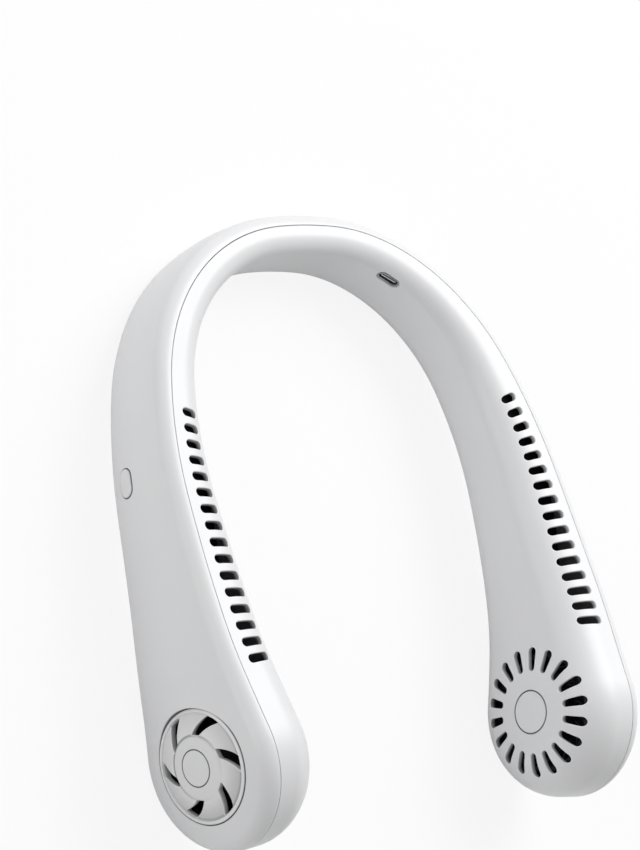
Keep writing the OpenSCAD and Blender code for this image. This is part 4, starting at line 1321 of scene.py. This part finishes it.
        # Painted shade in the cap's pocket.
        end, wall = solid.lip(fronts[-1], edge, inward, self.cap_lip, normals_of(self.front, grown, sign),
                              dark=self.pocket_painted_shade)
        solid.pocket(end, wall, edge, inward, self.cap_depth, -self.pocket_painted_shade)
        rows = np.concatenate([circle(r, int(2.0 * math.pi * r / self.row_spacing)) for r in self.rows])
        points = clear_of(rows, fronts[1:], self.margin)
        solid.patch(fronts, points, self.front, sign, self.shade(points))
        # The back carries painted shade all over.
        solid.patch(backs, clear_of(rows, backs[1:], self.margin), self.back, -sign, -self.slot_painted_shade)
        name = self.side.name.lower()
        return solid.finish(f"{name}_swirl_grille", (f"{name}_intake_grille",), "body", "grille")

    def opening(self) -> Hole:
        """Return the round hole for the grille in the outer shell.

        Returns:
            The hole.
        """

        def outline(grow: float) -> Array:
            """Return the circle in (x, y)."""
            return circle(self.r + self.gap + grow, OPENING_POINTS)

        return Hole(outline, self.face.to_plane, self.face.inward(), self.opening_lip,
                    dark=self.groove_painted_shade)

    def cap(self) -> Plug:
        """Return the plain cap in the hub.

        Returns:
            The cap as a plug.
        """
        name = self.side.name.lower()
        return Plug(f"{name}_hub_cap", f"{name}_grille_cap", "grille", "body", self.face.skin,
                    lambda grow: circle(self.cap_r + grow, CAP_POINTS), self.face.inward(),
                    self.cap_lip, self.cap_t)


@dataclass(frozen=True)
class InnerDisc:
    """The plain disc in the middle of the inlet slots."""

    side: Side
    r: float = 7.6
    lip: float = 0.3
    thickness: float = 0.9

    def plug(self) -> Plug:
        """Return the disc, whose face is the crown of the inner shell.

        Returns:
            The disc as a plug.
        """
        name, face = self.side.name.lower(), FanFace(INNER, self.side)
        return Plug(f"{name}_plain_disc", f"{name}_inner_disc", "shell", "body", face.skin,
                    lambda grow: circle(self.r + grow, DISC_POINTS), face.inward(), self.lip,
                    self.thickness)


@dataclass(frozen=True)
class PowerButton:
    """The pill-shaped button and its opening in the right arm's outer face."""

    opening: PillHole
    gap: float = 0.25
    rise: float = 0.3
    lip: float = 0.4
    depth: float = 4.2
    spacing: float = 0.5

    def plug(self) -> Plug:
        """Return the button, whose face is the shell's skin raised by the rise.

        Returns:
            The button as a plug.
        """
        axis = -self.opening.inward()

        def outline(grow: float) -> Array:
            """Return the button's own outline, inside the opening by the gap."""
            return self.opening.outline(grow - self.gap)

        def face(uv: Array) -> Array:
            """Return places on the raised face."""
            return self.opening.skin(uv) + self.rise * axis

        return Plug("pill_button", "power_button", "button", "power_button", face, outline,
                    self.opening.inward(), self.lip, self.depth, self.spacing)


@dataclass(frozen=True)
class Studio:
    """Floor, light and camera of the photograph."""

    focal_px: float = 3594.42
    eye: tuple[float, float, float] = (-880.051, -328.440, 908.402)
    right: tuple[float, float, float] = (0.72053858, -0.24545878, 0.64851689)
    down: tuple[float, float, float] = (-0.03722691, -0.9475954, -0.31729657)
    ahead: tuple[float, float, float] = (0.69241485, 0.20448214, -0.69191671)
    sensor: float = 24.0
    world_light: float = 0.33
    lamp_at: tuple[float, float, float] = (0.87, 0.83, 1.34)
    lamp_size: float = 1.3
    lamp_power: float = 26.5
    fill_at: tuple[float, float, float] = (-1.49, 0.24, 0.56)
    fill_size: float = 1.0
    fill_power: float = 5.4
    floor_color: float = 0.95
    floor_white: float = 0.86
    floor_half: float = 6.0
    floor_roughness: float = 0.9
    clip: tuple[float, float] = (0.05, 50.0)
    aim: tuple[float, float, float] = (0.0, 0.0, 0.03)

    def camera(self) -> bpy.types.Object:
        """Place the camera where the photograph was taken, measured from the band's own curves.

        Returns:
            The camera's object.
        """
        data = bpy.data.cameras.new("camera")
        data.sensor_fit = "VERTICAL"
        data.sensor_height = self.sensor
        data.lens = self.focal_px * self.sensor / PHOTO_HEIGHT
        data.clip_start, data.clip_end = self.clip
        camera = bpy.data.objects.new("camera", data)
        eye = BAND.seated(np.array(self.eye)) * MM
        x, y, z = (BAND.turned(np.array(v)) for v in (self.right, self.down, self.ahead))
        rotation = np.stack([x, -y, -z], axis=1)
        matrix = Matrix(rotation.tolist()).to_4x4()
        matrix.translation = Vector(eye.tolist())
        camera.matrix_world = matrix
        bpy.context.scene.collection.objects.link(camera)
        bpy.context.scene.camera = camera
        return camera

    def world(self) -> None:
        """Light the scene evenly, and show white to the camera and to reflections."""
        world = bpy.data.worlds.new("studio")
        world.use_nodes = True
        bpy.context.scene.world = world
        tree = world.node_tree
        tree.nodes.clear()
        start = Shade(tree, 0.0)
        seen, glossy, clear = (start.node("ShaderNodeLightPath", {}, f"Is {ray} Ray")
                               for ray in ("Camera", "Glossy", "Transmission"))
        light = start.node("ShaderNodeBackground", {"Strength": self.world_light, "Color": WHITE})
        shown = start.node("ShaderNodeBackground", {"Color": WHITE})
        white = seen.math("MAXIMUM", glossy).math("MAXIMUM", clear)
        start.node("ShaderNodeMixShader", {0: white, 1: light, 2: shown}).into(
            tree.nodes.new("ShaderNodeOutputWorld"), "Surface")

    def lamp(self, name: str, at: tuple[float, float, float], size: float, power: float) -> None:
        """Add a square area lamp that faces the middle of the part.

        Args:
            name: Name of the lamp.
            at: Its place in metres.
            size: Side of its square.
            power: Power in watts.
        """
        data = bpy.data.lights.new(name, "AREA")
        data.shape = "SQUARE"
        data.size = size
        data.energy = power
        lamp = bpy.data.objects.new(name, data)
        lamp.location = at
        lamp.rotation_euler = (Vector(self.aim) - Vector(at)).to_track_quat("-Z", "Y").to_euler()
        bpy.context.scene.collection.objects.link(lamp)

    def floor(self) -> bpy.types.Object:
        """Lay the plain pale floor.

        Returns:
            The floor's object.
        """
        mesh = bpy.data.meshes.new("floor")
        r = self.floor_half
        mesh.from_pydata([(-r, -r, 0.0), (r, -r, 0.0), (r, r, 0.0), (-r, r, 0.0)], [], [(0, 1, 2, 3)])
        floor = bpy.data.objects.new("floor", mesh)
        bpy.context.scene.collection.objects.link(floor)
        material = bpy.data.materials.new("pale floor")
        material.use_nodes = True
        tree = material.node_tree
        shader = tree.nodes["Principled BSDF"]
        shader.inputs["Base Color"].default_value = (*[self.floor_color] * 3, 1.0)
        shader.inputs["Roughness"].default_value = self.floor_roughness
        shader.inputs["Specular IOR Level"].default_value = 0.0
        start = Shade(tree, 0.0)
        seen = start.node("ShaderNodeLightPath", {}, "Is Camera Ray") * self.floor_white
        white = start.node("ShaderNodeEmission", {"Color": WHITE, "Strength": 1.0})
        start.node("ShaderNodeMixShader", {0: seen, 1: Shade(tree, shader.outputs[0]), 2: white}).into(
            tree.nodes["Material Output"], "Surface")
        mesh.materials.append(material)
        return floor

    def build(self) -> None:
        """Build the whole studio."""
        self.camera()
        self.world()
        self.floor()
        self.lamp("large softbox", self.lamp_at, self.lamp_size, self.lamp_power)
        self.lamp("side fill", self.fill_at, self.fill_size, self.fill_power)
        bpy.context.scene.view_settings.view_transform = "Standard"


class Shade:
    """A socket of a node, or a number, with the arithmetic of the Math node."""

    def __init__(self, tree: bpy.types.NodeTree, socket: bpy.types.NodeSocket | float) -> None:
        """Wrap a socket or a number of the given tree."""
        self.tree = tree
        self.socket = socket

    def node(self, kind: str, inputs: dict[str | int, "Shade | float | tuple[float, ...]"],
             output: str | int = 0, **settings: object) -> "Shade":
        """Add any node.

        Args:
            kind: Type of the node.
            inputs: What goes into its sockets, by name or number.
            output: Socket that comes out.
            settings: Properties of the node.

        Returns:
            The output, wrapped.
        """
        made = self.tree.nodes.new(kind)
        for name, value in settings.items():
            setattr(made, name, value)
        for key, value in inputs.items():
            plain = value.socket if isinstance(value, Shade) else value
            if isinstance(plain, bpy.types.NodeSocket):
                self.tree.links.new(plain, made.inputs[key])
            else:
                made.inputs[key].default_value = plain
        return Shade(self.tree, made.outputs[output])

    def into(self, node: bpy.types.Node, name: str) -> None:
        """Link this value to a socket of another node."""
        self.tree.links.new(self.socket, node.inputs[name])

    def math(self, operation: str, other: "Shade | float", turned: bool = False) -> "Shade":
        """Add a Math node of this value and another one, the other one first where turned."""
        pair = (other, self) if turned else (self, other)
        return self.node("ShaderNodeMath", {0: pair[0], 1: pair[1]}, operation=operation)

    def __add__(self, other: "Shade | float") -> "Shade":
        """Return the sum."""
        return self.math("ADD", other)

    def __radd__(self, other: float) -> "Shade":
        """Return the sum, with the number first."""
        return self.math("ADD", other, True)

    def __sub__(self, other: "Shade | float") -> "Shade":
        """Return the difference."""
        return self.math("SUBTRACT", other)

    def __rsub__(self, other: float) -> "Shade":
        """Return the difference, with the number first."""
        return self.math("SUBTRACT", other, True)

    def __mul__(self, other: "Shade | float") -> "Shade":
        """Return the product."""
        return self.math("MULTIPLY", other)

    def __rmul__(self, other: float) -> "Shade":
        """Return the product, with the number first."""
        return self.math("MULTIPLY", other, True)


@dataclass(frozen=True)
class Finish:
    """A finish: its colour, roughness and pattern, and how much each of them varies."""

    name: str
    color: tuple[float, float, float]
    roughness: float
    look: Look = Look.MOULDED
    tint: float = 0.03
    scale: float = 2600.0
    bump: float = 0.00001
    axis: str = "Z"
    second: tuple[float, float, float] = (0.5, 0.5, 0.5)
    specular: float = 0.5
    # Whether the finish takes painted highlights and painted shade from the piece's shade attribute.
    edges: bool = False
    broad_scale: float = 60.0
    tool_stretch: float = 30.0
    # Factor on the shade value for painted shade; negative, so values below 0 darken.
    deep: float = -0.85

    def pattern(self, place: "Shade") -> tuple["Shade", "Shade", "Shade"]:
        """Work out the pattern of the look.

        Moulded plastic has a fine noise as its height. Turned metal has noise that is stretched along
        its tool marks. Sheets and wires are sine bands of the given scale.
        A board's tracks are the thin lines of a brick pattern. Foil has large creases from cell
        borders, foam has small round cells, and a cable has a faint long-waved noise.

        Args:
            place: Mapped object coordinates.

        Returns:
            How far the colour goes to the second one, a factor on the roughness, and the height.
        """

        def noise_of(at: "Shade", scale: float, detail: float) -> "Shade":
            """Return noise at the given coordinates."""
            return place.node("ShaderNodeTexNoise", {"Vector": at, "Scale": scale, "Detail": detail})

        noise, broad = noise_of(place, self.scale, 3.0), noise_of(place, self.broad_scale, 3.0)
        rough = (broad - 0.5) * 0.25 + 1.0
        if self.look in (Look.STACKED, Look.WOUND):
            bands = place.node("ShaderNodeTexWave", {"Vector": place, "Scale": self.scale, "Distortion": 0.4,
                                                     "Detail": 1.0}, 1, wave_type="BANDS",
                               bands_direction=self.axis, wave_profile="SIN")
            return (1.0 - bands) * 0.35, rough, bands + noise * 0.15
        if self.look is Look.TURNED:
            stretch = (1.0, 1.0, self.tool_stretch)
            turned = place.node("ShaderNodeMapping", {"Vector": place, "Scale": stretch})
            marks = noise_of(turned, self.scale, 4.0)
            return (marks - 0.4) * 0.3, (marks - 0.5) * 0.6 + 1.0, marks
        if self.look is Look.BOARD:
            tracks = place.node("ShaderNodeTexBrick", {
                "Vector": place, "Color1": (0.0, 0.0, 0.0, 1.0), "Color2": (0.0, 0.0, 0.0, 1.0),
                "Mortar": WHITE, "Scale": self.scale, "Mortar Size": 0.12, "Mortar Smooth": 0.4,
                "Brick Width": 2.4, "Row Height": 0.6})
            return tracks * 0.7, rough - tracks * 0.2, tracks + noise * 0.1
        if self.look is Look.FOIL:
            creases = place.node("ShaderNodeTexVoronoi", {"Vector": place, "Scale": self.scale},
                                 feature="DISTANCE_TO_EDGE")
            return broad * 0.4, rough, creases + noise * 0.3
        if self.look is Look.FOAM:
            cells = place.node("ShaderNodeTexVoronoi", {"Vector": place, "Scale": self.scale})
            return (1.0 - cells) * 0.4, rough, cells
        if self.look is Look.CABLE:
            return noise * 0.2, rough, broad + noise * 0.2
        return broad, rough, noise

    def material(self) -> bpy.types.Material:
        """Build the finish.

        The colour goes from the first towards the second by tint times the pattern's share, the
        roughness is multiplied by its factor, and its height raises the surface by the bump. A finish
        with edges also takes painted highlights and painted shade: its colour goes towards a light colour
        where the piece's shade attribute is above 0 and towards a dark one where it is below.

        Returns:
            The material.
        """
        material = bpy.data.materials.new(self.name)
        material.use_nodes = True
        tree = material.node_tree
        shader = tree.nodes["Principled BSDF"]
        metal = self.look in (Look.TURNED, Look.STACKED, Look.WOUND, Look.FOIL)
        shader.inputs["Metallic"].default_value = 1.0 if metal else 0.0
        shader.inputs["Specular IOR Level"].default_value = self.specular
        start = Shade(tree, 0.0)
        place = start.node("ShaderNodeTexCoord", {}, "Object")
        mapped = start.node("ShaderNodeMapping", {"Vector": place})
        share, factor, height = self.pattern(mapped)

        def blend(amount: Shade, first: Shade | tuple[float, ...], second: tuple[float, ...]) -> Shade:
            """Return the first colour, with the given amount of the second one."""
            return start.node("ShaderNodeMix", {"Factor": amount, 6: first, 7: second}, 2, data_type="RGBA")

        color = blend(share * self.tint, (*self.color, 1.0), (*self.second, 1.0))
        # Painted highlights and painted shade: the shade attribute blends the colour towards light and dark
        # colours.
        if self.edges:
            shade = start.node("ShaderNodeAttribute", {}, "Fac", attribute_name="shade")
            for turn, end in ((1.0, PAINTED_HIGHLIGHT_COLOR), (self.deep, PAINTED_SHADE_COLOR)):
                color = blend(start.node("ShaderNodeMath", {0: shade, 1: turn}, operation="MULTIPLY",
                                         use_clamp=True), color, end)
        bumped = start.node("ShaderNodeBump", {"Height": height, "Distance": self.bump, "Strength": 1.0})
        color.into(shader, "Base Color")
        (factor * self.roughness).into(shader, "Roughness")
        bumped.into(shader, "Normal")
        return material


FINISHES: dict[str, Finish] = {
    # The white plastics take painted highlights and painted shade (edges=True).
    "shell": Finish("satin white shell plastic", (0.825, 0.828, 0.838), 0.36, second=(0.7, 0.7, 0.72),
                    edges=True),
    "grille": Finish("satin white grille plastic", (0.81, 0.81, 0.815), 0.38, second=(0.68, 0.68, 0.69),
                     edges=True),
    "button": Finish("satin white button plastic", (0.83, 0.83, 0.835), 0.34, second=(0.7, 0.7, 0.71),
                     edges=True),
    "fan": Finish("dark fan plastic", (0.02, 0.02, 0.022), 0.45, tint=0.2, second=(0.05, 0.05, 0.055),
                  specular=0.25),
    "guide": Finish("dark guide plastic", (0.014, 0.014, 0.015), 0.6, tint=0.2, second=(0.03, 0.03, 0.033),
                    specular=0.15),
    "board": Finish("green solder mask", (0.015, 0.11, 0.04), 0.32, Look.BOARD, 0.9, 700.0, 0.00002,
                    second=(0.05, 0.24, 0.09)),
    "switch_black": Finish("black switch plastic", (0.02, 0.02, 0.02), 0.4, tint=0.3,
                           second=(0.05, 0.05, 0.05)),
    "steel": Finish("plated steel", (0.58, 0.58, 0.59), 0.28, Look.TURNED, 0.6, 900.0, 0.000004,
                    second=(0.35, 0.35, 0.36)),
    "lamination": Finish("stacked silicon steel", (0.36, 0.37, 0.39), 0.4, Look.STACKED, 1.0, 1000.0,
                         0.00003, second=(0.12, 0.12, 0.13)),
    "magnet": Finish("bonded magnet", (0.16, 0.16, 0.165), 0.5, tint=0.6, scale=3500.0,
                     second=(0.26, 0.26, 0.27)),
    "bronze": Finish("sintered bronze", (0.62, 0.4, 0.18), 0.45, Look.TURNED, 0.6, 1500.0, 0.00001,
                     second=(0.38, 0.22, 0.09)),
    "copper": Finish("enamelled copper wire", (0.72, 0.3, 0.12), 0.3, Look.WOUND, 1.0, 1300.0, 0.00008, "X",
                     second=(0.3, 0.09, 0.03)),
    "motor_alloy": Finish("turned aluminium", (0.72, 0.73, 0.74), 0.3, Look.TURNED, 0.6, 800.0, 0.000004,
                          second=(0.5, 0.5, 0.51)),
    "cell_foil": Finish("pouch cell foil", (0.62, 0.63, 0.64), 0.33, Look.FOIL, 0.6, 260.0, 0.00012,
                        second=(0.42, 0.42, 0.43)),
    "foam_tape": Finish("grey foam tape", (0.2, 0.2, 0.21), 0.85, Look.FOAM, 1.0, 2200.0, 0.00015,
                        second=(0.07, 0.07, 0.075), specular=0.2),
    "black_lead": Finish("black lead", (0.02, 0.02, 0.02), 0.45, Look.CABLE, 0.5, 900.0, 0.00004,
                         second=(0.06, 0.06, 0.06), specular=0.3),
    "red_lead": Finish("red lead", (0.42, 0.02, 0.015), 0.42, Look.CABLE, 0.5, 900.0, 0.00004,
                       second=(0.25, 0.01, 0.01), specular=0.3),
}

SLOT_NODES: dict[str, str] = {
    "shell": "outer_shell inner_shell inner_disc",
    "grille": "intake_grille grille_cap",
    "button": "power_button",
    "switch_black": "switch_stem power_switch",
    "board": "control_board charge_board motor_board",
    "steel": "control_board_screws charge_board_screws motor_screws usb_c_socket rotor_can motor_shaft",
    "fan": "impeller",
    "guide": "air_guide",
    "magnet": "magnet_ring",
    "bronze": "bearing",
    "lamination": "stator_core",
    "copper": "coils",
    "motor_alloy": "motor_base",
    "cell_foil": "battery_cell",
    "foam_tape": "battery_pad",
    "black_lead": "motor_lead neck_harness",
    "red_lead": "battery_lead",
}
NODE_SLOTS: dict[str, str] = {node: slot for slot, nodes in SLOT_NODES.items() for node in nodes.split()}


class Finishes:
    """The materials of the fan, each made once."""

    def __init__(self) -> None:
        """Start with none made."""
        self.made: dict[str, bpy.types.Material] = {}

    def of(self, slot: str) -> bpy.types.Material:
        """Return the material of a slot, and make it the first time.

        Args:
            slot: Name of the slot.

        Returns:
            The slot's material.
        """
        if slot not in self.made:
            self.made[slot] = FINISHES[slot].material()
        return self.made[slot]

    def dress_nodes(self) -> None:
        """Give every carried-over node the finish of its slot."""
        for name, node in frame["nodes"].items():
            slot = NODE_SLOTS[name.removeprefix("right_").removeprefix("left_")]
            node.data.materials.clear()
            node.data.materials.append(self.of(slot))
        log.info("dressed %d nodes", len(frame["nodes"]))


def main() -> None:
    """Build the scene and report each piece."""
    logging.basicConfig(level=logging.INFO, format="%(name)s %(message)s")
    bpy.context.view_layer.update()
    Studio().build()
    finishes = Finishes()
    finishes.dress_nodes()
    outlets, inlets = OutletRow(), InletRing()
    # The port's mouth gets painted shade in its rounded lip.
    port = PillHole(INNER, Side.LEFT, s=46.5, z=41.3338, length=9.14, width=3.46, bend_r=78.4, n=-10.24,
                    lip=0.6, dark=0.8)
    button = PowerButton(PillHole(OUTER, Side.RIGHT, s=138.2, z=28.1, length=10.7, width=6.9, bend_r=166.7,
                                  n=6.13))
    inner = Shell("inner_skin", INNER, ("inner_shell",), holes=[port.hole()])
    outer = Shell("outer_skin", OUTER, ("outer_shell",), holes=[button.opening.hole()])
    pieces: list[tuple[bpy.types.Object, str]] = []
    for side in Side:
        inner.holes += [outlets.hole(side, i) for i in range(outlets.count)]
        inner.holes += [inlets.slot(side, i) for i in range(inlets.count)]
        inner.holes.append(inlets.pocket(side))
        grille = IntakeGrille(side)
        outer.holes.append(grille.opening())
        pieces += [(grille.build(), "grille"), (grille.cap().build(), "grille")]
        pieces.append((InnerDisc(side).plug().build(), "shell"))
    pieces += [(button.plug().build(), "button"), (inner.build(), "shell"), (outer.build(), "shell")]
    for piece, slot in pieces:
        piece.data.materials.append(finishes.of(slot))


if __name__ == "__main__":
    main()
